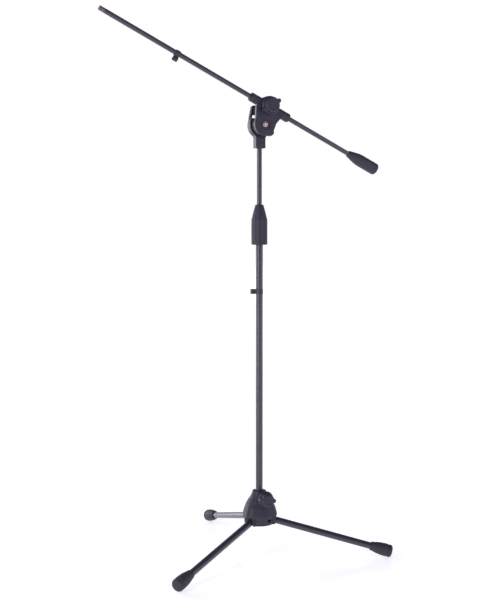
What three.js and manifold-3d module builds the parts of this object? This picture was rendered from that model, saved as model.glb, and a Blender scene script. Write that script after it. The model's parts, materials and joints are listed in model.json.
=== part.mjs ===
// Boom microphone stand: folding tripod base, two-section pole with a twist clutch,
// tilting head and a sliding boom with a grip-shaped counterweight.
//
// Millimetres, +Z up. The pieces are laid out with the floor at z = 0 and the pole on the z axis;
// the last step moves the origin to the middle of the stand's own box, on the floor.
// One leg points along +Y, the other two 60 degrees either side of -Y.
// The boom lies along X with its microphone end towards -X and raised; its knobs face -Y.

import * as THREE from "three";
import { mergeVertices } from "three/addons/utils/BufferGeometryUtils.js";
import Module from "manifold-3d";

const wasm = await Module();
wasm.setup();

// ---------------------------------------------------------------- driving dimensions

const GAP = 0.3; // clearance between neighbouring pieces

// Tubes
const LOWER_TUBE_R = 10;
const LOWER_TUBE_BORE_R = 8.6;
const UPPER_TUBE_R = 7;
const UPPER_TUBE_BORE_R = 5.8;
const BOOM_R = 6.5;
const BOOM_BORE_R = 5.3;

// Base housing
const BASE_TOP_Z = 181;
const BASE_BOTTOM_Z = 89.5;
const BASE_BORE_R = LOWER_TUBE_R + GAP;
const BASE_SLEEVE_R = 14;
const KNOB_SCREW_Z = 165.5;

// Legs
const LEG_AZIMUTHS_DEG = [-60, 60, 180]; // measured from -Y towards +X
const LEG_SLOPE_DEG = 14.25;
const LEG_PIVOT_R = 30;
const LEG_PIVOT_Z = 103;
const LEG_TUBE_R = 9.5;
const LEG_TUBE_BORE_R = 8.2;
const LEG_TUBE_START = 18; // from the pivot, along the leg
const LEG_LUG_WIDTH = 30;
const LEG_SLOT_WIDTH = 13.6;
const LEG_ROOT_WIDTH = 12.8;
const BOLT_HEAD_Y = -12; // across the leg, from its middle plane
const NUT_END_Y = 10.2;
const BOLT_END_Y = 11;
const FOOT_LENGTH = 63;

// Pole
const POLE_BOTTOM_Z = 92;
const LOWER_TUBE_TOP_Z = 925;
const POLE_CLIP_Z = 741;
const CLIP_WIDTH = 14;

// Clutch
const CLUTCH_BOTTOM_Z = 879;
const CLUTCH_SHOULDER_Z = 951;
const CLUTCH_TOP_Z = 991;
const CLUTCH_R = 22.5;
const CLUTCH_FLUTES = 12;

// Upper tube and head
const UPPER_TUBE_BOTTOM_Z = 455;
const PIVOT_Z = 1210;
const YOKE_BOTTOM_Z = 1148;
const YOKE_RIB_TOP_Z = 1174;
const YOKE_STEM_HALF = 14.6;
const YOKE_DISC_R = 33;
const YOKE_FLAT_TOP = 19; // above the pivot
const YOKE_HALF_DEPTH = 9.5;
const HOLDER_DISC_R = 31.5;
const HOLDER_HUB_R = 28;
const HOLDER_BACK_Y = -11.8;
const HOLDER_DISC_BACK_Y = -28.5;
const HOLDER_FRONT_Y = -37.5;

// Boom, measured in the boom's own frame: x along it, z square to it, from the tilt pivot
const BOOM_TILT_DEG = 24.4;
const BOOM_Y = -22.5;
const BOOM_Z = 52.753;
const SLEEVE_MIDDLE_X = -2.066;
const SLEEVE_HALF_LENGTH = 63;
const SLEEVE_R = 12.5;
const SLEEVE_BORE_R = 8.2;
const CLAMP_X = -9;
const BOOM_KNOB_TURN_DEG = -56.4;
const CLAMP_DRUM_R = 28;
const MIC_END_X = -534.066;
const BOOM_CLIP_X = -301.066;
const GRIP_START_X = 276.934;
const GRIP_END_X = 381.934;
const GRIP_R = 17.2;
const STUD_LENGTH = 16;

const ROUND = 20; // segments round an ordinary turned piece
const SMALL_ROUND = 10; // segments round a small one

// ---------------------------------------------------------------- materials

const rad = THREE.MathUtils.degToRad;

function material(color, roughness, metalness) {
  return () => new THREE.MeshStandardMaterial({ color, roughness, metalness });
}

const blackTube = material(0x24222b, 0.32, 0.45);
const moulded = material(0x37353f, 0.62, 0.0);
const casting = material(0x302e38, 0.48, 0.35);
const rubber = material(0x26252b, 0.85, 0.0);
const darkPlastic = material(0x2b2931, 0.55, 0.0);
const steel = material(0xb9bbc2, 0.3, 0.9);
const blackSteel = material(0x1d1c22, 0.4, 0.7);
const brass = material(0xc98a5b, 0.35, 0.85);
const studMetal = material(0x6d5a55, 0.45, 0.7);
const fibre = material(0x4a4540, 0.8, 0.0);

// ---------------------------------------------------------------- solids

// A closed geometry as a manifold-3d solid, without the triangles that collapsed on an axis.
function solidOf(geometry) {
  const bare = geometry.clone();
  bare.deleteAttribute("normal");
  bare.deleteAttribute("uv");
  const merged = mergeVertices(bare, 1e-4);
  const index = merged.index.array;
  const kept = [];
  for (let i = 0; i < index.length; i += 3) {
    const [a, b, c] = [index[i], index[i + 1], index[i + 2]];
    if (a !== b && b !== c && c !== a) kept.push(a, b, c);
  }
  const mesh = new wasm.Mesh({
    numProp: 3,
    vertProperties: new Float32Array(merged.attributes.position.array),
    triVerts: new Uint32Array(kept),
  });
  return new wasm.Manifold(mesh);
}

function geometryOf(solid) {
  const mesh = solid.getMesh();
  const geometry = new THREE.BufferGeometry();
  geometry.setAttribute("position", new THREE.BufferAttribute(mesh.vertProperties, 3));
  geometry.setIndex(new THREE.BufferAttribute(mesh.triVerts, 1));
  const flat = geometry.toNonIndexed();
  flat.computeVertexNormals();
  return flat;
}

function join(...solids) {
  return solids.reduce((whole, next) => whole.add(next));
}

function cut(solid, ...tools) {
  return tools.reduce((rest, tool) => rest.subtract(tool), solid);
}

// Twice the signed area of a closed outline of [a, b] pairs.
function outlineArea(outline) {
  return outline.reduce((sum, [a, b], i) => {
    const [c, d] = outline[(i + 1) % outline.length];
    return sum + a * d - c * b;
  }, 0);
}

// A body turned about z from a closed outline of [radius, z] pairs.
function turned(outline, segments = ROUND) {
  const ordered = outlineArea(outline) > 0 ? outline : [...outline].reverse();
  const firstOnAxis = ordered.findIndex(([r], i) => {
    const before = ordered[(i + ordered.length - 1) % ordered.length];
    return r === 0 && before[0] === 0;
  });
  let points;
  if (firstOnAxis >= 0) {
    points = [...ordered.slice(firstOnAxis), ...ordered.slice(0, firstOnAxis)];
  } else {
    points = [...ordered, ordered[0]];
  }
  const geometry = new THREE.LatheGeometry(
    points.map(([r, z]) => new THREE.Vector2(r, z)),
    segments,
  );
  geometry.rotateX(Math.PI / 2);
  return solidOf(geometry);
}

function rod(radius, from, to, segments = ROUND) {
  return turned([[0, from], [radius, from], [radius, to], [0, to]], segments);
}

function pipe(radius, bore, from, to, segments = ROUND) {
  return turned([[bore, from], [radius, from], [radius, to], [bore, to]], segments);
}

function block(x, y, z, centre = [0, 0, 0]) {
  const geometry = new THREE.BoxGeometry(x, y, z);
  geometry.translate(...centre);
  return solidOf(geometry);
}

// A closed outline of [x, y] pairs, or a Shape, raised from z = from to z = to.
function raised(outline, from, to, curveSegments = 12) {
  const shape = outline instanceof THREE.Shape
    ? outline
    : new THREE.Shape(outline.map(([x, y]) => new THREE.Vector2(x, y)));
  const geometry = new THREE.ExtrudeGeometry(shape, {
    depth: to - from,
    bevelEnabled: false,
    curveSegments,
  });
  geometry.translate(0, 0, from);
  return solidOf(geometry);
}

// The same solid with its z axis laid along +X, +Y or -Y.
function alongX(solid) {
  return solid.rotate([0, 90, 0]);
}

function alongY(solid) {
  return solid.rotate([-90, 0, 0]);
}

function alongMinusY(solid) {
  return solid.rotate([90, 0, 0]);
}

// An outline in the X-Z plane with a thickness from y = front to y = back.
function slab(outline, front, back) {
  const flat = raised(outline, 0, back - front);
  return flat.rotate([90, 0, 0]).translate([0, back, 0]);
}

function circleOutline(radius, count, centre = [0, 0], phase = 0) {
  return Array.from({ length: count }, (_, i) => {
    const angle = phase + (2 * Math.PI * i) / count;
    return [centre[0] + radius * Math.cos(angle), centre[1] + radius * Math.sin(angle)];
  });
}

// ---------------------------------------------------------------- scene helpers

const stand = new THREE.Group();

function group(parent, position = [0, 0, 0]) {
  const made = new THREE.Group();
  made.position.set(...position);
  parent.add(made);
  return made;
}

function add(parent, name, solid, look, position = [0, 0, 0]) {
  const mesh = new THREE.Mesh(geometryOf(solid), look());
  mesh.name = name;
  mesh.position.set(...position);
  parent.add(mesh);
  return mesh;
}

// A clamping knob along +z from its back face: round skirt, domed cap and two side lobes.
function clampKnob(capR, skirtR, lobeReach, height, screwR) {
  const skirt = [
    [0, 0],
    [skirtR - 1.5, 0],
    [skirtR, 2],
    [skirtR - 1, 6],
    [capR, 9],
    [capR, height - 5],
    [capR - 2, height - 2],
    [capR - 6, height],
    [0, height],
  ];
  const lobeR = 6;
  const lobe = rod(lobeR, 2, height - 4, SMALL_ROUND);
  const lobes = [-1, 1].map((side) => lobe.translate([side * (lobeReach - lobeR), 0, 0]));
  const bridge = block(2 * (lobeReach - lobeR), 2 * lobeR - 1, height - 6.4, [0, 0, height / 2 - 1.1]);
  const screwHole = rod(screwR + GAP, -1, height - 6, SMALL_ROUND);
  return cut(join(turned(skirt), ...lobes, bridge), screwHole);
}

// ---------------------------------------------------------------- base

const base = group(stand);

const housingOutline = [
  [BASE_BORE_R, BASE_TOP_Z],
  [18.6, BASE_TOP_Z],
  [19.6, 180.2],
  [20.4, 176],
  [23, 171.5],
  [27.3, 164],
  [32.4, 157],
  [36.9, 149],
  [41, 139.5],
  [44.3, 129.5],
  [46.3, 122],
  [47.3, 115],
  [46.3, 111.5],
  [42.8, 109],
  [42.2, BASE_BOTTOM_Z + 1.5],
  [40.7, BASE_BOTTOM_Z],
  [37, BASE_BOTTOM_Z],
  [38.6, 110],
  [42, 117],
  [38, 133],
  [24, 151],
  [BASE_SLEEVE_R, 154],
  [BASE_SLEEVE_R, 86],
  [BASE_BORE_R, 86],
];
const pivotOnPlane = [LEG_PIVOT_R, LEG_PIVOT_Z];

// The corner between two lines at a leg: how far out, and how high, the leg's upper side runs.
const slope = Math.tan(rad(LEG_SLOPE_DEG));
const rootTopOffset = 8.8 / Math.cos(rad(LEG_SLOPE_DEG));
const tubeSweepR = LEG_TUBE_START - 0.6;
const tubeSide = LEG_TUBE_R + 0.5;

// The room a leg tube sweeps outside the lugs, from its spread position down to vertical.
function tubeSweep() {
  const start = -Math.PI / 2 - Math.asin(tubeSide / tubeSweepR);
  const end = -rad(LEG_SLOPE_DEG) + Math.asin(tubeSide / tubeSweepR);
  const steps = 6;
  const arc = Array.from({ length: steps + 1 }, (_, i) => {
    const angle = start + ((end - start) * i) / steps;
    return [
      LEG_PIVOT_R + tubeSweepR * Math.cos(angle),
      LEG_PIVOT_Z + tubeSweepR * Math.sin(angle),
    ];
  });
  const last = arc[arc.length - 1];
  const far = 120;
  return [
    [arc[0][0], 60],
    ...arc,
    [far, last[1] - slope * (far - last[0])],
    [far, 60],
  ];
}

// The slot the leg's root swings in.
function rootSlot() {
  return [
    [LEG_PIVOT_R - 9, 60],
    [LEG_PIVOT_R - 9, LEG_PIVOT_Z + 6],
    [LEG_PIVOT_R - 5, LEG_PIVOT_Z + rootTopOffset + 1.2],
    [LEG_PIVOT_R, LEG_PIVOT_Z + rootTopOffset],
    [80, LEG_PIVOT_Z + rootTopOffset - slope * (80 - LEG_PIVOT_R)],
    [80, 60],
  ];
}

// An outline in a leg's own vertical plane, given as [outwards, z], turned to that leg's azimuth.
function inLegPlane(outline, width, azimuth) {
  return slab(outline, -width / 2, width / 2).rotate([0, 0, azimuth - 90]);
}

// Each leg's pair of lugs, the web that ties them to the pole's sleeve and the brow above the slot.
const lug = [
  [24, BASE_BOTTOM_Z],
  [45, BASE_BOTTOM_Z],
  [47, BASE_BOTTOM_Z + 2.5],
  [48, 103],
  [48, 112],
  [44, 126],
  [24, 126],
];
const innerWeb = [
  [11.5, BASE_BOTTOM_Z + 1],
  [25, BASE_BOTTOM_Z + 1],
  [40, 112],
  [38, 134],
  [11.5, 150],
];
const brow = [
  [28, 156],
  [36.6, 151.5],
  [44.4, 140.5],
  [47.4, 132],
  [49.2, 123],
  [49.7, 116],
  [48.6, 110],
  [42, 107],
  [28, 107],
];
let housing = turned(housingOutline, 30);
for (const azimuth of LEG_AZIMUTHS_DEG) {
  housing = join(
    housing,
    inLegPlane(lug, LEG_LUG_WIDTH, azimuth),
    inLegPlane(innerWeb, LEG_LUG_WIDTH, azimuth),
    inLegPlane(brow, 24, azimuth),
  );
}
const poleRoom = rod(BASE_BORE_R, 40, 220);
housing = cut(housing, poleRoom);
for (const azimuth of LEG_AZIMUTHS_DEG) {
  const boltRoom = join(
    alongY(rod(3.4, -20, BOLT_END_Y + 0.5, SMALL_ROUND)),
    alongY(rod(4.3, -36, BOLT_HEAD_Y + 2.6, SMALL_ROUND)),
    alongY(raised(circleOutline(5.5, 6), 0, NUT_END_Y + 0.4)),
  ).translate([LEG_PIVOT_R, 0, LEG_PIVOT_Z]).rotate([0, 0, azimuth - 90]);
  housing = cut(
    housing,
    inLegPlane(tubeSweep(), 2 * tubeSide + 0.6, azimuth),
    inLegPlane(rootSlot(), LEG_SLOT_WIDTH, azimuth),
    boltRoom,
  );
}

// The boss for the clamp screw, on the front of the collar.
const bossFront = 38.2;
const BASE_KNOB_TURN_DEG = 8;
const boss = alongMinusY(turned([[0, 12], [10.5, 12], [10.5, bossFront - 1], [9.5, bossFront], [0, bossFront]], 16));
const screwBore = alongMinusY(rod(4.3, 5, 60, SMALL_ROUND));
const placedBoss = boss.translate([0, 0, KNOB_SCREW_Z]);
housing = cut(join(housing, placedBoss), screwBore.translate([0, 0, KNOB_SCREW_Z]), poleRoom);
add(base, "base_housing", housing, moulded);

// Pressure shoe between the clamp screw and the pole, then the screw and its knob.
const clamp = group(base, [0, 0, KNOB_SCREW_Z]);
const shoeFront = 16;
const shoe = cut(
  alongMinusY(rod(4, 6, shoeFront, SMALL_ROUND)),
  rod(LOWER_TUBE_R + GAP, -20, 20),
);
add(clamp, "base_clamp_shoe", shoe, darkPlastic);

const baseScrew = alongMinusY(turned([
  [0, shoeFront + GAP],
  [3, shoeFront + GAP],
  [3.9, shoeFront + 1.3],
  [3.9, 55],
  [0, 55],
], SMALL_ROUND));
add(clamp, "base_clamp_screw", baseScrew, blackSteel);
const baseKnobBack = bossFront + 1;
const baseKnob = alongMinusY(clampKnob(19, 23.5, 25.5, 23, 3.9));
const baseKnobTurn = group(clamp, [0, -baseKnobBack, 0]);
baseKnobTurn.rotation.y = rad(BASE_KNOB_TURN_DEG);
add(baseKnobTurn, "base_knob", baseKnob, moulded);

// A dark ring round the pole just above the housing.
const topRing = turned([
  [LOWER_TUBE_R + GAP, BASE_TOP_Z + GAP],
  [12.6, BASE_TOP_Z + GAP],
  [12.6, BASE_TOP_Z + 3],
  [11.6, BASE_TOP_Z + 4.5],
  [LOWER_TUBE_R + GAP, BASE_TOP_Z + 4.5],
]);
add(base, "base_top_ring", topRing, darkPlastic);

// ---------------------------------------------------------------- legs

// The foot's outline along the leg from its neck; the blind bore takes the tube.
const footOutline = [
  [LEG_TUBE_R + GAP, 0],
  [11.6, 0],
  [12.4, 1],
  [12.4, 6],
  [14, 13],
  [16.4, 24],
  [17.6, 40],
  [17.8, 48],
  [16.4, 49.4],
  [16.4, 51],
  [0, 51],
  [0, 44],
  [LEG_TUBE_R + GAP, 44],
];
const padOutline = [
  [0, 51 + GAP],
  [16.6, 51 + GAP],
  [17.5, 52.6],
  [17.5, 56],
  [15.5, 60],
  [11, 62.2],
  [0, FOOT_LENGTH],
];

// How far along the leg the foot starts, so that its lowest point rests on the floor.
function footStart() {
  const s = Math.sin(rad(LEG_SLOPE_DEG));
  const c = Math.cos(rad(LEG_SLOPE_DEG));
  const reaches = [...footOutline, ...padOutline].map(
    ([r, along]) => (LEG_PIVOT_Z - r * c) / s - along,
  );
  return Math.min(...reaches);
}

const FOOT_START = footStart();
const LEG_TUBE_END = FOOT_START + 44 - GAP;

// The root: a flat tongue with a round heel at the pivot, and a spigot inside the tube.
const tongueHalf = 8.2;
const tongueEnd = LEG_TUBE_START - 0.2;
const legRoot = cut(
  join(
    slab(circleOutline(tongueHalf, 20), -LEG_ROOT_WIDTH / 2, LEG_ROOT_WIDTH / 2),
    block(tongueEnd, LEG_ROOT_WIDTH, 2 * tongueHalf, [tongueEnd / 2, 0, 0]),
    alongX(rod(LEG_TUBE_BORE_R - GAP, tongueEnd - 0.2, LEG_TUBE_START + 28, 20)),
  ),
  slab(circleOutline(3.4, 12), -20, 20),
);

const legTube = alongX(pipe(LEG_TUBE_R, LEG_TUBE_BORE_R, LEG_TUBE_START, LEG_TUBE_END));
const foot = alongX(turned(footOutline)).translate([FOOT_START, 0, 0]);
const pad = alongX(turned(padOutline)).translate([FOOT_START, 0, 0]);

// The leg's bolt lies sunk in one lug; its nut sits in a pocket of the other, open to the slot.
const legBolt = alongY(turned([
  [0, BOLT_HEAD_Y],
  [3.9, BOLT_HEAD_Y],
  [3.9, BOLT_HEAD_Y + 2.2],
  [3, BOLT_HEAD_Y + 2.3],
  [3, BOLT_END_Y],
  [0, BOLT_END_Y],
], SMALL_ROUND));
const legNut = alongY(cut(
  raised(circleOutline(5, 6), LEG_SLOT_WIDTH / 2 + 0.2, NUT_END_Y),
  rod(3 + GAP, 0, 40, SMALL_ROUND),
));

LEG_AZIMUTHS_DEG.forEach((azimuth, i) => {
  const number = i + 1;
  const hub = group(base);
  hub.rotation.z = rad(azimuth - 90);
  const pivot = group(hub, [LEG_PIVOT_R, 0, LEG_PIVOT_Z]);
  add(pivot, `leg_bolt_${number}`, legBolt, blackSteel);
  add(pivot, `leg_nut_${number}`, legNut, blackSteel);
  const leg = group(pivot);
  leg.rotation.y = rad(LEG_SLOPE_DEG);
  add(leg, `leg_root_${number}`, legRoot, darkPlastic);
  add(leg, `leg_tube_${number}`, legTube, blackTube);
  add(leg, `foot_${number}`, foot, rubber);
  add(leg, `foot_pad_${number}`, pad, rubber);
});

// ---------------------------------------------------------------- pole

const pole = group(stand);
add(pole, "lower_tube", pipe(LOWER_TUBE_R, LOWER_TUBE_BORE_R, POLE_BOTTOM_Z, LOWER_TUBE_TOP_Z), blackTube);

const plug = turned([
  [0, POLE_BOTTOM_Z - 4],
  [9.4, POLE_BOTTOM_Z - 4],
  [9.8, POLE_BOTTOM_Z - GAP],
  [LOWER_TUBE_BORE_R - GAP, POLE_BOTTOM_Z - GAP],
  [LOWER_TUBE_BORE_R - GAP, POLE_BOTTOM_Z + 18],
  [0, POLE_BOTTOM_Z + 18],
]);
add(pole, "pole_end_plug", plug, darkPlastic);

// A cable clip round a tube along z: an open ring, a neck and a small open hook for the cable, on +x.
function cableClip(tubeR) {
  const ringR = tubeR + 2.3;
  const hookX = tubeR + 10.2;
  const ring = rod(ringR, 0, CLIP_WIDTH);
  const hook = rod(5.6, 0, CLIP_WIDTH, SMALL_ROUND).translate([hookX, 0, 0]);
  const neck = block(6, 5, CLIP_WIDTH, [ringR + 1, 0, CLIP_WIDTH / 2]);
  const tubeRoom = rod(tubeR + GAP, -1, CLIP_WIDTH + 1, ROUND);
  const cableRoom = rod(3.6, -1, CLIP_WIDTH + 1, SMALL_ROUND).translate([hookX + 0.4, 0, 0]);
  const ringMouth = block(12, 1.2 * tubeR, 40, [-ringR, 0, 0]);
  const hookMouth = block(8, 3.4, 40, [hookX + 6, 0, 0]).rotate([0, 0, 0]);
  return cut(join(ring, hook, neck), tubeRoom, cableRoom, ringMouth, hookMouth);
}

const poleClip = cableClip(LOWER_TUBE_R).rotate([0, 0, 154]);
add(pole, "pole_clip", poleClip, darkPlastic, [0, 0, POLE_CLIP_Z]);

// ---------------------------------------------------------------- clutch

const bushing = cut(
  turned([
    [LOWER_TUBE_R + GAP, CLUTCH_BOTTOM_Z + 14],
    [15.4, CLUTCH_BOTTOM_Z + 14],
    [15.4, LOWER_TUBE_TOP_Z + 6],
    [UPPER_TUBE_R + GAP, LOWER_TUBE_TOP_Z + 6],
    [UPPER_TUBE_R + GAP, LOWER_TUBE_TOP_Z + GAP],
    [LOWER_TUBE_R + GAP, LOWER_TUBE_TOP_Z + GAP],
  ]),
);
add(pole, "clutch_bush", bushing, darkPlastic);

// The split collet the grip squeezes on the upper tube.
const colletBottom = LOWER_TUBE_TOP_Z + 6 + GAP;
let collet = turned([
  [UPPER_TUBE_R + GAP, colletBottom],
  [15, colletBottom],
  [15, colletBottom + 8],
  [9.4, colletBottom + 50],
  [UPPER_TUBE_R + GAP, colletBottom + 50],
]);
for (const turn of [0, 60, 120]) {
  const slit = block(40, 1.6, 36, [0, 0, colletBottom + 36]);
  collet = cut(collet, slit.rotate([0, 0, turn]));
}
add(pole, "clutch_collet", collet, darkPlastic);

const gripOutline = [
  [16, CLUTCH_BOTTOM_Z],
  [20.4, CLUTCH_BOTTOM_Z],
  [21.8, CLUTCH_BOTTOM_Z + 1],
  [CLUTCH_R, CLUTCH_BOTTOM_Z + 3.5],
  [CLUTCH_R, CLUTCH_SHOULDER_Z - 3],
  [21.3, CLUTCH_SHOULDER_Z + 2],
  [18.4, CLUTCH_SHOULDER_Z + 14],
  [15, CLUTCH_SHOULDER_Z + 27],
  [12, CLUTCH_TOP_Z - 2],
  [11, CLUTCH_TOP_Z],
  [UPPER_TUBE_R + 0.6, CLUTCH_TOP_Z],
  [UPPER_TUBE_R + 0.6, CLUTCH_TOP_Z - 8],
  [9.9, CLUTCH_TOP_Z - 8.2],
  [15.8, colletBottom + 8],
  [15.8, CLUTCH_BOTTOM_Z + 12],
  [16, CLUTCH_BOTTOM_Z + 12],
];
let grip = turned(gripOutline, 24);
for (let i = 0; i < CLUTCH_FLUTES; i += 1) {
  const flute = turned([
    [0, CLUTCH_BOTTOM_Z - 5],
    [4.2, CLUTCH_BOTTOM_Z - 5],
    [4.2, CLUTCH_SHOULDER_Z - 8],
    [0, CLUTCH_SHOULDER_Z + 2],
  ], 8);
  const turn = (360 / CLUTCH_FLUTES) * (i + 0.5);
  grip = cut(grip, flute.translate([CLUTCH_R + 3, 0, 0]).rotate([0, 0, turn]));
}
add(pole, "clutch_grip", grip, moulded);

// ---------------------------------------------------------------- upper tube

const upper = group(stand);
const UPPER_TUBE_TOP_Z = YOKE_RIB_TOP_Z + 4;
add(upper, "upper_tube", pipe(UPPER_TUBE_R, UPPER_TUBE_BORE_R, UPPER_TUBE_BOTTOM_Z, UPPER_TUBE_TOP_Z), blackTube);
const glide = turned([
  [0, UPPER_TUBE_BOTTOM_Z - 14],
  [LOWER_TUBE_BORE_R - GAP, UPPER_TUBE_BOTTOM_Z - 14],
  [LOWER_TUBE_BORE_R - GAP, UPPER_TUBE_BOTTOM_Z - GAP],
  [UPPER_TUBE_BORE_R - GAP, UPPER_TUBE_BOTTOM_Z - GAP],
  [UPPER_TUBE_BORE_R - GAP, UPPER_TUBE_BOTTOM_Z + 16],
  [0, UPPER_TUBE_BOTTOM_Z + 16],
], 24);
add(upper, "upper_tube_glide", glide, darkPlastic);

// ---------------------------------------------------------------- head yoke

const head = group(stand, [0, 0, PIVOT_Z]);
const yokeBottom = YOKE_BOTTOM_Z - PIVOT_Z;
const yokeRibTop = YOKE_RIB_TOP_Z - PIVOT_Z;

// Points of a circle round the tilt axis between two angles, measured from +x.
function arc(radius, startDeg, endDeg, steps) {
  return Array.from({ length: steps + 1 }, (_, i) => {
    const angle = rad(startDeg + ((endDeg - startDeg) * i) / steps);
    return [radius * Math.cos(angle), radius * Math.sin(angle)];
  });
}

// The yoke: one flat casting, a disc with a flat top on a straight stem that sockets the upper tube.
const flatTopDeg = THREE.MathUtils.radToDeg(Math.asin(YOKE_FLAT_TOP / YOKE_DISC_R));
const throatDeg = 58;
const yokeOutline = [
  [-YOKE_STEM_HALF, yokeBottom],
  [YOKE_STEM_HALF, yokeBottom],
  [YOKE_STEM_HALF, -33],
  ...arc(YOKE_DISC_R, -throatDeg, flatTopDeg, 10),
  ...arc(YOKE_DISC_R, 180 - flatTopDeg, 180 + throatDeg, 10),
  [-YOKE_STEM_HALF, -33],
];
const ribGrooves = [];
for (const side of [-1, 1]) {
  const faceY = side * YOKE_HALF_DEPTH;
  for (let x = -10.5; x < 11; x += 4.2) {
    ribGrooves.push(block(1.8, 1.6, yokeRibTop - yokeBottom, [x, faceY, (yokeRibTop + yokeBottom) / 2 - 1]));
  }
  ribGrooves.push(block(40, 1.6, 1.4, [0, faceY, yokeRibTop + 0.7]));
}
const yoke = cut(
  slab(yokeOutline, -YOKE_HALF_DEPTH, YOKE_HALF_DEPTH),
  rod(UPPER_TUBE_R + GAP, -100, UPPER_TUBE_TOP_Z - PIVOT_Z + GAP),
  alongY(rod(4.4, -60, 60, SMALL_ROUND)),
  ...ribGrooves,
);
add(head, "head_yoke", yoke, casting);

const washerDepth = 1.6;
const frictionWasher = alongMinusY(pipe(27, 4.6, 0, washerDepth, 24))
  .translate([0, -YOKE_HALF_DEPTH - GAP, 0]);
add(head, "friction_washer", frictionWasher, fibre);

// ---------------------------------------------------------------- boom holder

// Everything that tilts hangs in this group; its x axis is the boom's.
const tilt = group(head);
tilt.rotation.y = rad(BOOM_TILT_DEG);

// A hub behind, a wider disc in front, and the web that carries the sleeve and the clamp drum.
const hubFront = HOLDER_BACK_Y - HOLDER_DISC_BACK_Y;
const holderDepth = HOLDER_BACK_Y - HOLDER_FRONT_Y;
const holderDisc = alongMinusY(turned([
  [0, 0],
  [HOLDER_HUB_R - 1, 0],
  [HOLDER_HUB_R, 1],
  [HOLDER_HUB_R, hubFront],
  [HOLDER_DISC_R, hubFront],
  [HOLDER_DISC_R, holderDepth - 2],
  [HOLDER_DISC_R - 2, holderDepth],
  [0, holderDepth],
], 30)).translate([0, HOLDER_BACK_Y, 0]);
const clampDrum = alongMinusY(turned([
  [0, 0],
  [CLAMP_DRUM_R - 1, 0],
  [CLAMP_DRUM_R, 1],
  [CLAMP_DRUM_R, holderDepth - 1.5],
  [CLAMP_DRUM_R - 1.5, holderDepth],
  [0, holderDepth],
], 28)).translate([CLAMP_X, HOLDER_BACK_Y, 51]);
const web = slab([
  [-31.2, 0],
  [-34.7, 9.5],
  [-43.2, 29.8],
  [-46, 40.2],
  [-45, 46],
  [37, 46],
  [38, 40.2],
  [34, 30],
  [29.9, 17],
  [31, 3],
  [0, -20],
], HOLDER_FRONT_Y + 0.4, HOLDER_DISC_BACK_Y + 1);
const stopLug = slab([
  [12.9, -28.5],
  [31.7, -19.1],
  [35, -10.5],
  [27.5, 5.9],
  [10, 0],
], HOLDER_FRONT_Y + 1, HOLDER_FRONT_Y + 13);
const sleeveAt = [SLEEVE_MIDDLE_X, BOOM_Y, BOOM_Z];
const sleeve = alongX(turned([
  [0, -SLEEVE_HALF_LENGTH],
  [SLEEVE_R - 0.4, -SLEEVE_HALF_LENGTH],
  [SLEEVE_R, -SLEEVE_HALF_LENGTH + 0.6],
  [SLEEVE_R, SLEEVE_HALF_LENGTH - 0.6],
  [SLEEVE_R - 0.4, SLEEVE_HALF_LENGTH],
  [0, SLEEVE_HALF_LENGTH],
])).translate(sleeveAt);
const holder = cut(
  join(holderDisc, clampDrum, web, stopLug, sleeve),
  alongX(rod(SLEEVE_BORE_R, -80, 80, ROUND)).translate(sleeveAt),
  alongX(rod(10, -80, -SLEEVE_HALF_LENGTH + 22, ROUND)).translate(sleeveAt),
  alongX(rod(10, SLEEVE_HALF_LENGTH - 22, 80, ROUND)).translate(sleeveAt),
  alongY(rod(4.4, -60, 60, SMALL_ROUND)),
  alongMinusY(rod(15, -HOLDER_FRONT_Y - 2, 60, 24)),
  alongMinusY(rod(4.3, -BOOM_Y + 1, 80, SMALL_ROUND)).translate([CLAMP_X, 0, BOOM_Z]),
);
add(tilt, "boom_holder", holder, casting);

// Plastic bushes pressed into both mouths of the sleeve.
[["a", -1], ["b", 1]].forEach(([letter, side]) => {
  const bush = alongX(turned([
    [BOOM_R + GAP, -19],
    [9.7, -19],
    [9.7, GAP],
    [11.4, GAP],
    [11.4, 1.8],
    [BOOM_R + GAP, 1.8],
  ], 20));
  const placed = side > 0 ? bush : bush.rotate([0, 180, 0]);
  const mouthX = SLEEVE_MIDDLE_X + side * SLEEVE_HALF_LENGTH;
  add(tilt, `sleeve_bush_${letter}`, placed, darkPlastic, [mouthX, BOOM_Y, BOOM_Z]);
});

// The tilt bolt runs from a recess in the holder's front through the yoke's disc to the rear lever.
const boltFront = HOLDER_FRONT_Y + 2 - GAP;
const washer = alongMinusY(pipe(7.4, 4.3, 0, 2, 20)).translate([0, boltFront, 0]);
add(tilt, "tilt_washer", washer, steel);
const hexFront = boltFront - 2 - GAP;
const TILT_BOLT_BACK_Y = 30.5;
const tiltBolt = join(
  alongMinusY(rod(4, -TILT_BOLT_BACK_Y, -hexFront + 0.5, SMALL_ROUND)),
  alongMinusY(raised(circleOutline(6.6, 6), -hexFront, -hexFront + 5.5)),
);
add(tilt, "tilt_bolt", tiltBolt, steel);
const cap = alongMinusY(turned([
  [0, 0],
  [4.6, 0],
  [4.6, 1.6],
  [3, 3],
  [0, 3.4],
], SMALL_ROUND)).translate([0, hexFront - 5.5 - GAP, 0]);
add(tilt, "tilt_bolt_cap", cap, brass);

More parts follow.
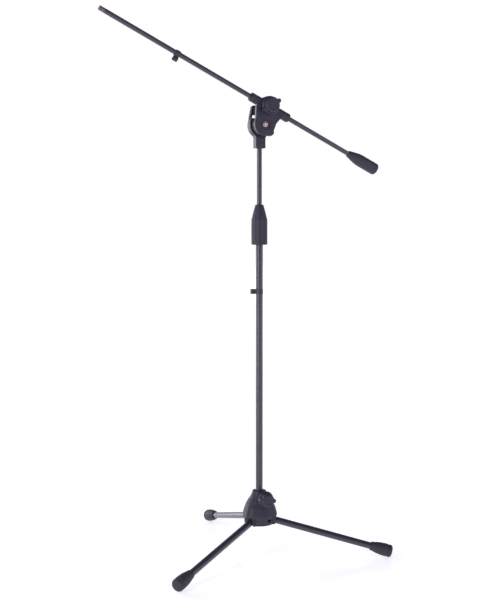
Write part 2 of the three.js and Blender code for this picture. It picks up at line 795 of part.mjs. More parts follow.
// The rear lever that tightens the tilt bolt: a hub and a tapered handle with a window, standing up.
const rearWasher = alongY(pipe(10, 4.3, 0, 1.8, 20)).translate([0, YOKE_HALF_DEPTH + GAP, 0]);
add(head, "tilt_rear_washer", rearWasher, steel);
const LEVER_FRONT_Y = YOKE_HALF_DEPTH + 2.6;
const LEVER_DEPTH = 13;
const leverHub = alongY(turned([
  [0, 0],
  [14, 0],
  [15, 1],
  [13, LEVER_DEPTH + 3],
  [11, LEVER_DEPTH + 6],
  [0, LEVER_DEPTH + 7],
], 20));
const leverHandle = slab([
  [-14, 0],
  [-21, 12],
  [-22.6, 21],
  [-15.8, 54],
  [-12, 58],
  [2, 58],
  [6, 54],
  [17.6, 21],
  [17, 12],
  [13, 0],
], 1, LEVER_DEPTH);
const leverWindow = slab([
  [-16.5, 21],
  [-14.5, 32],
  [9.5, 32],
  [12.9, 21],
  [12.4, 16.5],
  [-16, 16.5],
], -1, LEVER_DEPTH + 2);
const lever = cut(
  join(leverHub, cut(leverHandle, leverWindow)),
  alongY(rod(4.3, -5, TILT_BOLT_BACK_Y - LEVER_FRONT_Y + 0.5, SMALL_ROUND)),
);
add(head, "tilt_lever", lever, rubber, [0, LEVER_FRONT_Y, 0]);

// The boom clamp: a pressure shoe, a screw and a knob on the drum's front face.
const boomClamp = group(tilt, [CLAMP_X, 0, BOOM_Z]);
const shoeStart = -BOOM_Y + 2;
const shoeEnd = -BOOM_Y + 10;
const boomShoe = cut(
  alongMinusY(rod(4, shoeStart, shoeEnd, SMALL_ROUND)),
  alongX(rod(BOOM_R + GAP, -20, 20)).translate([0, BOOM_Y, 0]),
);
add(boomClamp, "boom_clamp_shoe", boomShoe, darkPlastic);
const boomScrew = alongMinusY(turned([
  [0, shoeEnd + GAP],
  [3, shoeEnd + GAP],
  [3.9, shoeEnd + 1.6],
  [3.9, -HOLDER_FRONT_Y + 15],
  [0, -HOLDER_FRONT_Y + 15],
], SMALL_ROUND));
add(boomClamp, "boom_clamp_screw", boomScrew, blackSteel);
const boomKnobTurn = group(boomClamp, [0, HOLDER_FRONT_Y - 1, 0]);
boomKnobTurn.rotation.y = rad(BOOM_KNOB_TURN_DEG);
const boomKnob = alongMinusY(clampKnob(22, 26, 30, 22, 3.9));
add(boomKnobTurn, "boom_clamp_knob", boomKnob, moulded);

// ---------------------------------------------------------------- boom

const boom = group(tilt, [0, BOOM_Y, BOOM_Z]);
const boomTubeStart = MIC_END_X + STUD_LENGTH;
const boomTubeEnd = GRIP_END_X - 14;
add(boom, "boom_tube", alongX(pipe(BOOM_R, BOOM_BORE_R, boomTubeStart, boomTubeEnd)), blackTube);

// The threaded stud the microphone clip screws on.
const threadTurns = 4;
const threadOutline = [[0, MIC_END_X]];
for (let i = 0; i < threadTurns; i += 1) {
  const along = MIC_END_X + 1 + i * 3;
  threadOutline.push([5.6, along - (i === 0 ? 1 : 0)]);
  threadOutline.push([6.5, along + 1]);
  threadOutline.push([6.5, along + 1.5]);
  threadOutline.push([5.6, along + 2.4]);
}
threadOutline.push([5.6, boomTubeStart - GAP]);
threadOutline.push([BOOM_BORE_R - GAP, boomTubeStart - GAP]);
threadOutline.push([BOOM_BORE_R - GAP, boomTubeStart + 18]);
threadOutline.push([0, boomTubeStart + 18]);
add(boom, "mic_stud", alongX(turned(threadOutline, 16)), studMetal);

// The counterweight: a steel core on the tube inside a moulded grip.
const coreStart = GRIP_START_X + 30;
const coreEnd = GRIP_END_X - 16;
add(boom, "counterweight_core", alongX(pipe(14, BOOM_R + GAP, coreStart, coreEnd)), blackSteel);
const gripShape = [
  [BOOM_R + GAP, GRIP_START_X],
  [8, GRIP_START_X],
  [9, GRIP_START_X + 1],
  [12.6, GRIP_START_X + 16],
  [15.8, GRIP_START_X + 30],
  [GRIP_R, GRIP_START_X + 42],
  [GRIP_R, GRIP_END_X - 6],
  [GRIP_R - 1.6, GRIP_END_X - 2.4],
  [GRIP_R - 5, GRIP_END_X - 0.6],
  [0, GRIP_END_X],
  [0, GRIP_END_X - 13],
  [BOOM_R + GAP, GRIP_END_X - 13],
  [BOOM_R + GAP, coreEnd + GAP],
  [14.3, coreEnd + GAP],
  [14.3, coreStart - GAP],
  [BOOM_R + GAP, coreStart - GAP],
];
add(boom, "counterweight_grip", alongX(turned(gripShape)), moulded);

// The clip stands across the boom with its hook hanging square below it.
const boomClip = cableClip(BOOM_R).rotate([0, 90, 0]);
add(boom, "boom_clip", boomClip, darkPlastic, [BOOM_CLIP_X - CLIP_WIDTH / 2, 0, 0]);

// ---------------------------------------------------------------- origin

const part = new THREE.Group();
part.add(stand);
part.updateMatrixWorld(true);
const box = new THREE.Box3().setFromObject(stand, true);
const middle = box.getCenter(new THREE.Vector3());
stand.position.set(-middle.x, -middle.y, -box.min.z);

export default part;
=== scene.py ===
import json
import math

import bmesh
import bpy
from mathutils import Matrix, Vector


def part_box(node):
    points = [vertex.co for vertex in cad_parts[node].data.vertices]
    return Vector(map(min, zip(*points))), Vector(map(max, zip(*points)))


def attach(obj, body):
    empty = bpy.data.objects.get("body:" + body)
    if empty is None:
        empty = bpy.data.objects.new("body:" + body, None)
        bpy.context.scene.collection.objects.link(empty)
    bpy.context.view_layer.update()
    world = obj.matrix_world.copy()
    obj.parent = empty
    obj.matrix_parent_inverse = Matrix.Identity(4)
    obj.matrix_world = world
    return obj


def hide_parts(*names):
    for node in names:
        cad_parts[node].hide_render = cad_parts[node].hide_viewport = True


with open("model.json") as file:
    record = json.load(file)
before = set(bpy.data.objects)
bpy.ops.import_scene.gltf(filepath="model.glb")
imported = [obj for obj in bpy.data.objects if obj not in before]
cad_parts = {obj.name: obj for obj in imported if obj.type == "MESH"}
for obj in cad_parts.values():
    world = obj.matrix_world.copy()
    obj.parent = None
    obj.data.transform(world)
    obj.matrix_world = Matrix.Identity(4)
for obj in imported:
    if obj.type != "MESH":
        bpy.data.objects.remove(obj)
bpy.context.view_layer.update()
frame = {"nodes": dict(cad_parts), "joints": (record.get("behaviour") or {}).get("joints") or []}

# Looks of the boom microphone stand. Every piece is drawn in millimetres in the frame of the part
# it belongs to (a leg, the head, the boom), then scaled to metres and set down there.
# Turned pieces have their axis on z; "out" is away from the axis.

MM = 0.001

# ---------------------------------------------------------------- frames taken from the CAD model

joints = {joint["name"]: joint for joint in frame["joints"]}


def middle_of(node):
    low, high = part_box(node)
    return (Vector(low) + Vector(high)) / 2


def turn(degrees, axis):
    return Matrix.Rotation(math.radians(degrees), 4, axis)


def shift(x, y, z):
    return Matrix.Translation(Vector((x, y, z)) * MM)


pole_middle = middle_of("lower_tube")
STAND = Matrix.Translation((pole_middle.x, pole_middle.y, 0))
PIVOT_Z = joints["boom_tilt"]["pos_m"][2] / MM
HEAD = STAND @ shift(0, 0, PIVOT_Z)
mic_direction = Vector(joints["boom_slide"]["axis"])
TILT_DEG = math.degrees(math.atan2(mic_direction.z, -mic_direction.x))
TILT = HEAD @ turn(TILT_DEG, "Y")
BOOM_Y = -22.5  # the boom's axis, from the tilt axis and square to the boom
BOOM_Z = 52.753
BOOM = TILT @ shift(0, BOOM_Y, BOOM_Z) @ turn(90, "Y")  # z runs along the boom, away from the microphone
FRONT = turn(90, "X")  # turned pieces that point to -Y
BACK = turn(-90, "X")  # turned pieces that point to +Y
LEG_AZIMUTHS_DEG = (-60, 60, 180)  # from -Y towards +X
LEG_SLOPE_DEG = 90 - joints["leg_fold_1"]["range_deg"][1]


def leg_hub(number):
    pivot = Vector(joints[f"leg_fold_{number}"]["pos_m"])
    return Matrix.Translation(pivot) @ turn(LEG_AZIMUTHS_DEG[number - 1] - 90, "Z")


def leg_frame(number):
    """z runs down the leg from its bolt."""
    return leg_hub(number) @ turn(LEG_SLOPE_DEG, "Y") @ turn(90, "Y")


# ---------------------------------------------------------------- outlines


def rounded(corners, steps=5):
    """The outline's points; a corner given as (a, b, radius) is rounded off."""
    points = []
    for i, corner in enumerate(corners):
        here = Vector(corner[:2])
        radius = corner[2] if len(corner) > 2 else 0
        if radius == 0:
            points.append(here)
            continue
        before = Vector(corners[i - 1][:2]) - here
        after = Vector(corners[(i + 1) % len(corners)][:2]) - here
        reach = radius / math.tan(before.angle(after) / 2)
        reach = min(reach, 0.48 * before.length, 0.48 * after.length)
        start = here + before.normalized() * reach
        end = here + after.normalized() * reach
        for k in range(steps + 1):
            s = k / steps
            points.append((1 - s) ** 2 * start + 2 * s * (1 - s) * here + s * s * end)
    return points


def divided(points, step, closed):
    """The same outline with no stretch longer than step."""
    ends = points[1:] + points[:1] if closed else points[1:]
    result = []
    for start, end in zip(points, ends):
        parts = max(1, math.ceil((end - start).length / step))
        result += [start.lerp(end, k / parts) for k in range(parts)]
    return result if closed else result + [points[-1]]


def circle(radius, count=48):
    angles = [2 * math.pi * i / count for i in range(count)]
    return [(radius * math.cos(a), radius * math.sin(a)) for a in angles]


def rectangle(left, right, low, high):
    return [(left, low), (right, low), (right, high), (left, high)]


def smooth_step(low, high, value):
    s = min(1, max(0, (value - low) / (high - low)))
    return s * s * (3 - 2 * s)


# ---------------------------------------------------------------- solids, in millimetres


def finished(shape):
    """A bmesh made into a mesh with its faces turned outwards."""
    bmesh.ops.remove_doubles(shape, verts=shape.verts, dist=1e-5)
    bmesh.ops.recalc_face_normals(shape, faces=shape.faces)
    mesh = bpy.data.meshes.new("solid")
    shape.to_mesh(mesh)
    shape.free()
    return mesh


def turned(corners, segments=96, surface=None, step=None):
    """A body turned about z from (radius, z) corners; surface(angle, radius, z) may change the radius."""
    points = rounded(corners)
    closed = points[0].x > 0 or points[-1].x > 0
    if step:
        points = divided(points, step, closed)
    shape = bmesh.new()
    rings = []
    for r, z in points:
        if r < 1e-6:
            rings.append([shape.verts.new((0, 0, z))] * segments)
            continue
        ring = []
        for j in range(segments):
            angle = 2 * math.pi * j / segments
            reach = surface(angle, r, z) if surface else r
            ring.append(shape.verts.new((reach * math.cos(angle), reach * math.sin(angle), z)))
        rings.append(ring)
    pairs = list(zip(rings, rings[1:]))
    if closed:
        pairs.append((rings[-1], rings[0]))
    for low, high in pairs:
        for j in range(segments):
            k = (j + 1) % segments
            around = list(dict.fromkeys([low[j], low[k], high[k], high[j]]))
            if len(around) > 2:
                shape.faces.new(around)
    return finished(shape)


def rod(radius, low, high, segments=48):
    return turned([(0, low), (radius, low), (radius, high), (0, high)], segments)


def pipe(radius, bore, low, high, edge=0.4, segments=96):
    section = [(r, z, edge) for r, z in rectangle(bore, radius, low, high)]
    return turned(section, segments)


def prism(corners, low, high):
    """A closed outline of (x, y) corners raised from z = low to z = high."""
    points = rounded(corners)
    shape = bmesh.new()
    bottom = [shape.verts.new((x, y, low)) for x, y in points]
    top = [shape.verts.new((x, y, high)) for x, y in points]
    shape.faces.new(bottom)
    shape.faces.new(top)
    for i in range(len(points)):
        k = (i + 1) % len(points)
        shape.faces.new((bottom[i], bottom[k], top[k], top[i]))
    return finished(shape)


def slab(corners, front, back):
    """An outline of (x, z) corners with a thickness from y = front to y = back."""
    return moved(prism(corners, -back, -front), turn(90, "X"))


def moved(mesh, matrix):
    """The mesh turned and shifted; the matrix's shift is in millimetres."""
    mesh.transform(matrix)
    return mesh


def at(x, y, z):
    return Matrix.Translation((x, y, z))


def stand_in(mesh):
    obj = bpy.data.objects.new("working", mesh)
    bpy.context.scene.collection.objects.link(obj)
    return obj


def applied(obj):
    """The object's mesh with its modifiers applied; the object goes."""
    graph = bpy.context.evaluated_depsgraph_get()
    mesh = bpy.data.meshes.new_from_object(obj.evaluated_get(graph))
    bpy.data.objects.remove(obj)
    return mesh


def combined(first, others, operation):
    obj = stand_in(first)
    helpers = bpy.data.collections.new("helpers")
    bpy.context.scene.collection.children.link(helpers)
    tools = [bpy.data.objects.new("tool", other) for other in others]
    for tool in tools:
        helpers.objects.link(tool)
    modifier = obj.modifiers.new("combine", "BOOLEAN")
    modifier.operation = operation
    modifier.operand_type = "COLLECTION"
    modifier.collection = helpers
    modifier.solver = "EXACT"
    mesh = applied(obj)
    for tool in tools:
        bpy.data.objects.remove(tool)
    bpy.data.collections.remove(helpers)
    return mesh


def join(first, *others):
    return combined(first, others, "UNION")


def cut(first, *others):
    return combined(first, others, "DIFFERENCE")


def cast(mesh, voxel=0.5, rounds=6):
    """The solid with the small soft edges that a casting or a moulding has."""
    obj = stand_in(mesh)
    remesh = obj.modifiers.new("remesh", "REMESH")
    remesh.mode = "VOXEL"
    remesh.voxel_size = voxel
    smooth = obj.modifiers.new("smooth", "SMOOTH")
    smooth.factor = 0.5
    smooth.iterations = rounds
    return applied(obj)


# ---------------------------------------------------------------- materials


def add_node(tree, kind, inputs=None, **settings):
    made = tree.nodes.new(kind)
    for name, value in settings.items():
        setattr(made, name, value)
    for name, value in (inputs or {}).items():
        if isinstance(value, bpy.types.NodeSocket):
            tree.links.new(value, made.inputs[name])
        else:
            made.inputs[name].default_value = value
    return made


def maths(tree, operation, a, b=0.0):
    return add_node(tree, "ShaderNodeMath", {0: a, 1: b}, operation=operation).outputs[0]


def blended(tree, factor, first, second):
    mix = add_node(tree, "ShaderNodeMix", data_type="RGBA")
    for socket, value in ((mix.inputs[0], factor), (mix.inputs[6], first), (mix.inputs[7], second)):
        if isinstance(value, bpy.types.NodeSocket):
            tree.links.new(value, socket)
        else:
            socket.default_value = value
    return mix.outputs[2]


def noise(tree, vector, scale, detail=3.0, rough=0.55):
    inputs = {"Vector": vector, "Scale": scale, "Detail": detail, "Roughness": rough}
    return add_node(tree, "ShaderNodeTexNoise", inputs).outputs["Fac"]


def colour(r, g, b):
    return (r, g, b, 1)


def surface_material(
    name,
    dark,
    light,
    roughness,
    spread=0.08,
    metallic=0.0,
    coat=0.0,
    grain_size=1.1,
    grain=0.05,
    streak=0.0,
    wear=0.35,
    wear_tone=(0.16, 0.15, 0.18),
):
    """Two tones in soft patches and fine specks, a surface grain, streaks along z and rubbed edges.

    grain_size, grain and streak are in millimetres.
    """
    material = bpy.data.materials.new(name)
    material.use_nodes = True
    tree = material.node_tree
    tree.nodes.clear()
    where = add_node(tree, "ShaderNodeTexCoord").outputs["Object"]
    own = add_node(tree, "ShaderNodeObjectInfo").outputs["Random"]
    vector = add_node(tree, "ShaderNodeVectorMath", {0: where, 1: own}, operation="ADD").outputs[0]
    patches = noise(tree, vector, 34, 4)
    specks = noise(tree, vector, 1000 / grain_size, 3, 0.6)
    stretched = add_node(tree, "ShaderNodeMapping", {"Vector": vector, "Scale": (620, 620, 16)}).outputs[0]
    streaks = noise(tree, stretched, 1, 2)

    # Edges: where the bevelled normal leaves the true one, broken up by the patches.
    true_normal = add_node(tree, "ShaderNodeNewGeometry").outputs["Normal"]
    soft_normal = add_node(tree, "ShaderNodeBevel", {"Radius": 0.0009}, samples=4).outputs[0]
    agree = add_node(
        tree, "ShaderNodeVectorMath", {0: true_normal, 1: soft_normal}, operation="DOT_PRODUCT"
    ).outputs["Value"]
    edge = add_node(
        tree,
        "ShaderNodeMapRange",
        {"Value": agree, "From Min": 0.995, "From Max": 0.86, "To Min": 0.0, "To Max": 1.0},
    ).outputs[0]
    rubbed = maths(tree, "MULTIPLY", edge, maths(tree, "MULTIPLY", patches, 2 * wear))

    tone = maths(tree, "ADD", maths(tree, "MULTIPLY", patches, 0.6), maths(tree, "MULTIPLY", specks, 0.4))
    contrast = add_node(
        tree, "ShaderNodeMapRange", {"Value": tone, "From Min": 0.36, "From Max": 0.64}
    ).outputs[0]
    base = blended(tree, contrast, colour(*dark), colour(*light))
    base = blended(tree, rubbed, base, colour(*wear_tone))
    uneven = maths(tree, "MULTIPLY", maths(tree, "SUBTRACT", patches, 0.5), 4 * spread)
    rough = maths(tree, "ADD", uneven, roughness)
    rough = maths(tree, "SUBTRACT", rough, maths(tree, "MULTIPLY", rubbed, 0.15))

    height = maths(tree, "MULTIPLY", specks, grain * MM)
    height = maths(tree, "ADD", height, maths(tree, "MULTIPLY", streaks, streak * MM))
    bump = add_node(tree, "ShaderNodeBump", {"Strength": 1.0, "Distance": 1.0, "Height": height}).outputs[0]

    shader = add_node(
        tree,
        "ShaderNodeBsdfPrincipled",
        {
            "Base Color": base,
            "Metallic": metallic,
            "Roughness": rough,
            "Normal": bump,
            "Coat Weight": coat,
            "Coat Roughness": 0.16,
        },
    ).outputs[0]
    add_node(tree, "ShaderNodeOutputMaterial", {"Surface": shader})
    return material


MATERIALS = {
    "tube_paint": surface_material(
        "tube_paint", (0.020, 0.018, 0.028), (0.030, 0.027, 0.041), 0.30, 0.04,
        coat=0.5, grain_size=1.6, grain=0.006, streak=0.002, wear=0.3,
    ),
    "moulded": surface_material(
        "moulded", (0.017, 0.014, 0.026), (0.030, 0.026, 0.044), 0.54, 0.08,
        grain_size=0.9, grain=0.035, wear=0.35,
    ),
    "casting": surface_material(
        "casting", (0.018, 0.015, 0.028), (0.030, 0.026, 0.043), 0.40, 0.05,
        metallic=0.1, grain_size=1.3, grain=0.014, wear=0.3,
    ),
    "rubber": surface_material(
        "rubber", (0.022, 0.020, 0.026), (0.036, 0.033, 0.040), 0.62, 0.08,
        grain_size=0.7, grain=0.04, wear=0.3, wear_tone=(0.09, 0.085, 0.095),
    ),
    "dark_plastic": surface_material(
        "dark_plastic", (0.020, 0.019, 0.027), (0.032, 0.030, 0.041), 0.40, 0.08,
        grain_size=1.2, grain=0.02, wear=0.3,
    ),
    "bright_steel": surface_material(
        "bright_steel", (0.48, 0.48, 0.52), (0.68, 0.68, 0.71), 0.28, 0.08,
        metallic=1.0, grain_size=0.8, grain=0.012, streak=0.01, wear=0.3, wear_tone=(0.85, 0.85, 0.88),
    ),
    "black_steel": surface_material(
        "black_steel", (0.018, 0.017, 0.023), (0.040, 0.037, 0.045), 0.38, 0.08,
        metallic=0.6, grain_size=0.9, grain=0.015, wear=0.5, wear_tone=(0.28, 0.27, 0.28),
    ),
    "brass_cap": surface_material(
        "brass_cap", (0.52, 0.22, 0.10), (0.82, 0.40, 0.20), 0.32, 0.08,
        metallic=0.9, grain_size=0.8, grain=0.015, wear=0.4, wear_tone=(0.95, 0.62, 0.40),
    ),
    "stud_metal": surface_material(
        "stud_metal", (0.11, 0.075, 0.075), (0.20, 0.15, 0.15), 0.42, 0.10,
        metallic=0.7, grain_size=0.8, grain=0.02, wear=0.5, wear_tone=(0.45, 0.38, 0.36),
    ),
    "friction_fibre": surface_material(
        "friction_fibre", (0.050, 0.042, 0.036), (0.110, 0.092, 0.078), 0.85, 0.05,
        grain_size=0.6, grain=0.08, wear=0.1,
    ),
}


# ---------------------------------------------------------------- setting pieces down


SHARP_EDGE_DEG = 38


def put(name, mesh, place, body, finish):
    """Sets the mesh down in its frame, riding on a CAD body, in place of the CAD node it is named after."""
    mesh.transform(Matrix.Scale(MM, 4))
    mesh.polygons.foreach_set("use_smooth", [True] * len(mesh.polygons))
    mesh.set_sharp_from_angle(angle=math.radians(SHARP_EDGE_DEG))
    mesh.materials.clear()
    mesh.materials.append(MATERIALS[finish])
    mesh.name = name
    obj = bpy.data.objects.new(name, mesh)
    bpy.context.scene.collection.objects.link(obj)
    obj.matrix_world = place
    bpy.context.view_layer.update()
    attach(obj, body)
    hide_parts(name.removeprefix("look_"))


# ---------------------------------------------------------------- knobs, screws and clips


def lobed(reach, lobe_r, low, high, edge):
    """The radius, by angle and height, of a bar with round ends that lies across a knob."""
    middle = reach - lobe_r

    def radius(angle, z):
        if z < low or z > high:
            return 0
        depth = min(z - low, high - z)
        inset = edge - math.sqrt(edge * edge - (edge - depth) ** 2) if depth < edge else 0
        across = abs(math.sin(angle))
        along = abs(math.cos(angle))
        r = lobe_r - inset
        if across * middle < r and middle * middle * across * across < r * r:
            outer = middle * along + math.sqrt(r * r - (middle * across) ** 2)
            if outer * along >= middle:
                return outer
        return r / max(across, 1e-6)

    return radius


def smooth_max(a, b, blend):
    """The larger value, with the change from one to the other eased over blend."""
    gap = max(0, blend - abs(a - b)) / blend
    return max(a, b) + gap * gap * blend / 4


def clamp_knob(cap_r, skirt_r, reach, height, screw_r):
    """Round skirt, domed cap with a shallow dish, two side lobes and a blind bore behind."""
    lobe_low, lobe_high = 1.8, height - 3.6
    bar = lobed(reach, 6, lobe_low, lobe_high, 2)

    def surface(angle, r, z):
        if r < cap_r - 3.2:
            return r
        return smooth_max(r, bar(angle, z), 2.4)

    bore = screw_r + 0.3
    outline = [
        (bore, 0, 0.3),
        (skirt_r - 1.5, 0, 1),
        (skirt_r, 2.2, 1.6),
        (skirt_r - 0.8, 6, 2),
        (cap_r + 0.2, 9, 3),
        (cap_r, height - 4.5, 4),
        (cap_r - 2.2, height - 1.1, 3),
        (cap_r - 5, height, 2),
        (cap_r - 7.4, height - 0.1, 0.6),
        (cap_r - 8.2, height - 0.9, 0.6),
        (0, height - 0.5),
        (0, height - 6),
        (bore, height - 6),
    ]
    return turned(outline, 144, surface, step=0.8)


def threaded_rod(radius, depth, pitch, low, high, nose):
    """A screw along z with a plain nose; the thread runs round it."""

    def surface(angle, r, z):
        if r < radius - 0.01:
            return r
        turns = (z / pitch - angle / (2 * math.pi)) % 1
        ridge = 1 - abs(2 * turns - 1)
        fade = smooth_step(low, low + nose, z) * (1 - smooth_step(high - 1, high, z))
        return r - depth * fade * (1 - smooth_step(0.15, 0.85, ridge))

    outline = [
        (0, low),
        (radius - depth, low, 0.3),
        (radius, low + nose),
        (radius, high - 0.4),
        (radius - 0.4, high),
        (0, high),
    ]
    return turned(outline, 48, surface, step=pitch / 7)


def hexagon(flat_r):
    """Surface for a turned body: a hexagon of that half width across flats."""

    def surface(angle, r, z):
        off = (angle + math.pi / 6) % (math.pi / 3) - math.pi / 6
        return min(r, flat_r / math.cos(off))

    return surface


def cable_clip(tube_r, width):
    """An open ring on a tube along z and a small open hook for the cable, on +x."""
    ring_r = tube_r + 2.3
    hook_x = tube_r + 10.2
    ring = rod(ring_r, 0, width, 96)
    hook = moved(rod(5.6, 0, width), at(hook_x, 0, 0))
    neck = prism(rectangle(tube_r, hook_x, -2.8, 2.8), 0, width)
    tube_room = rod(tube_r + 0.25, -1, width + 1, 96)
    cable_room = moved(rod(3.6, -1, width + 1), at(hook_x + 0.4, 0, 0))
    mouth_half = 0.6 * tube_r
    ring_mouth = prism(
        rectangle(-ring_r - 6, -tube_r + 4, -mouth_half, mouth_half),
        -1,
        width + 1,
    )
    hook_mouth = prism(
        [(hook_x + 2, -1.7), (hook_x + 12, -2.6), (hook_x + 12, 2.6), (hook_x + 2, 1.7)],
        -1,
        width + 1,
    )
    whole = cut(join(ring, hook, neck), tube_room, cable_room, ring_mouth, hook_mouth)
    return cast(whole, 0.4, 5)


# ---------------------------------------------------------------- base

BASE_TOP_Z = 181
BASE_BOTTOM_Z = 89.5
BASE_BORE_R = 10.3
KNOB_SCREW_Z = 165.5
BOSS_FRONT = 38.2
LEG_PIVOT_R = 30
LEG_PIVOT_Z = 103
LUG_WIDTH = 30
BROW_BULGE = 3.6
LEG_TUBE_START = 18
LEG_TUBE_R = 9.5
BOLT_HEAD_Y = -12  # across the leg, from its middle plane
NUT_END_Y = 10.2
BOLT_END_Y = 11
BOLT_BORE_R = 3.4
BOLT_ACCESS_R = 4.3
TONGUE_SLOT_HALF = 6.8

slope = math.radians(LEG_SLOPE_DEG)


def in_leg_plane(mesh, azimuth):
    return moved(mesh, turn(azimuth - 90, "Z"))


def tube_sweep():
    """Outline of the room that a leg tube sweeps round its bolt, from spread to straight down."""
    side = LEG_TUBE_R + 0.5
    reach = LEG_TUBE_START - 0.6
    lean = math.asin(side / reach)
    start, end = -math.pi / 2 - lean, -slope + lean
    steps = 16
    arc = []
    for i in range(steps + 1):
        angle = start + (end - start) * i / steps
        arc.append((LEG_PIVOT_R + reach * math.cos(angle), LEG_PIVOT_Z + reach * math.sin(angle)))
    far = 120
    last = arc[-1]
    return [(arc[0][0], 60), *arc, (far, last[1] - math.tan(slope) * (far - last[0])), (far, 60)]


def root_slot():
    """Outline of the slot between two lugs for the leg root's tongue; it is open below and outside."""
    top = 8.8 / math.cos(slope)
    return [
        (LEG_PIVOT_R - 9, 60),
        (LEG_PIVOT_R - 9, LEG_PIVOT_Z + 6, 2),
        (LEG_PIVOT_R - 5, LEG_PIVOT_Z + top + 1.2, 2),
        (LEG_PIVOT_R, LEG_PIVOT_Z + top),
        (80, LEG_PIVOT_Z + top - math.tan(slope) * (80 - LEG_PIVOT_R)),
        (80, 60),
    ]


def browed(angle, r, z):
    """The bell bulges a little over each leg."""
    if r < 26 or z < BASE_BOTTOM_Z + 3:
        return r
    from_legs = [math.degrees(angle) - (azimuth - 90) for azimuth in LEG_AZIMUTHS_DEG]
    away = min(abs((degrees + 180) % 360 - 180) for degrees in from_legs)
    height = smooth_step(154, 138, z) * smooth_step(96, 116, z)
    return r + BROW_BULGE * height * (1 - smooth_step(7, 30, away))


def base_housing():
    """The bell with its collar, three pairs of lugs with leg slots and the boss for the clamp screw."""
    bell = turned(
        [
            (BASE_BORE_R, BASE_TOP_Z),
            (13, BASE_TOP_Z, 0.3),
            (15.6, BASE_TOP_Z, 1),
            (16.8, BASE_TOP_Z + 2.2, 0.8),
            (19.4, BASE_TOP_Z + 2.2, 1.2),
            (20.3, 178, 3),
            (23, 171.5, 6),
            (27.3, 164, 16),
            (32.4, 157, 16),
            (36.9, 149, 16),
            (41, 139.5, 16),
            (44.3, 129.5, 14),
            (46.3, 122, 10),
            (47.3, 115, 3),
            (46.3, 111.5, 2),
            (42.8, 109, 2),
            (42.2, BASE_BOTTOM_Z + 1.5, 1),
            (40.7, BASE_BOTTOM_Z, 0.8),
            (37, BASE_BOTTOM_Z, 0.8),
            (38.6, 110, 4),
            (42, 117, 6),
            (38, 133, 12),
            (24, 151, 8),
            (14, 154, 3),
            (14, 86, 0.6),
            (BASE_BORE_R, 86, 0.6),
        ],
        144,
        browed,
        step=2,
    )
    half = LUG_WIDTH / 2
    lug = [
        (24, BASE_BOTTOM_Z),
        (45, BASE_BOTTOM_Z, 2),
        (47, BASE_BOTTOM_Z + 2.5, 2),
        (48, 103, 8),
        (48, 112),
        (44, 126),
        (24, 126),
    ]
    web = [
        (11.5, BASE_BOTTOM_Z + 1),
        (25, BASE_BOTTOM_Z + 1),
        (40, 112),
        (38, 134),
        (11.5, 150),
    ]
    lugs = []
    cutters = []
    for azimuth in LEG_AZIMUTHS_DEG:
        for outline in (lug, web):
            lugs.append(in_leg_plane(slab(outline, -half, half), azimuth))
        cutters.append(in_leg_plane(slab(tube_sweep(), -LEG_TUBE_R - 0.8, LEG_TUBE_R + 0.8), azimuth))
        cutters.append(in_leg_plane(slab(root_slot(), -TONGUE_SLOT_HALF, TONGUE_SLOT_HALF), azimuth))
        # Room for the shank, access for the head from outside the bell, and a hexagonal pocket for the nut.
        bolt_rooms = (
            rod(BOLT_BORE_R, -20, BOLT_END_Y + 0.5),
            rod(BOLT_ACCESS_R, -36, BOLT_HEAD_Y + 2.6),
            prism(circle(5.5, 6), -1, NUT_END_Y + 0.4),
        )
        for room in bolt_rooms:
            across = at(LEG_PIVOT_R, 0, LEG_PIVOT_Z) @ turn(-90, "X")
            cutters.append(in_leg_plane(moved(room, across), azimuth))
    forward = at(0, 0, KNOB_SCREW_Z) @ turn(90, "X")
    boss = turned(
        [
            (0, 12),
            (10.5, 12),
            (10.5, BOSS_FRONT - 4, 1),
            (11.4, BOSS_FRONT - 3.4, 0.6),
            (11.4, BOSS_FRONT, 1),
            (0, BOSS_FRONT),
        ]
    )
    boss = moved(boss, forward)
    screw_room = moved(rod(4.3, 5, 60), forward)
    pole_room = rod(BASE_BORE_R, 40, 220, 96)
    whole = join(bell, *lugs, boss)
    whole = cut(whole, pole_room, screw_room, *cutters)
    return cast(whole, 0.75, 6)


put("look_base_housing", base_housing(), STAND, "base", "moulded")

CLAMP_SCREW_R = 3.9
CLAMP_THREAD_DEPTH = 0.55
CLAMP_THREAD_PITCH = 1.5
BASE_KNOB_TURN_DEG = 8
put(
    "look_base_clamp_screw",
    threaded_rod(CLAMP_SCREW_R, CLAMP_THREAD_DEPTH, CLAMP_THREAD_PITCH, 16.3, 55, 1),
    STAND @ shift(0, 0, KNOB_SCREW_Z) @ FRONT,
    "base_clamp",
    "black_steel",
)
put(
    "look_base_knob",
    clamp_knob(19, 23.5, 25.5, 23, CLAMP_SCREW_R),
    STAND @ shift(0, -BOSS_FRONT - 1, KNOB_SCREW_Z) @ turn(BASE_KNOB_TURN_DEG, "Y") @ FRONT,
    "base_clamp",
    "moulded",
)
put(
    "look_base_top_ring",
    turned(
        [
            (BASE_BORE_R, BASE_TOP_Z + 0.3),
            (12.6, BASE_TOP_Z + 0.3, 0.3),
            (12.6, BASE_TOP_Z + 3, 0.6),
            (11.6, BASE_TOP_Z + 4.5, 0.6),
            (BASE_BORE_R, BASE_TOP_Z + 4.5, 0.3),
        ]
    ),
    STAND,
    "base",
    "dark_plastic",
)

# ---------------------------------------------------------------- legs

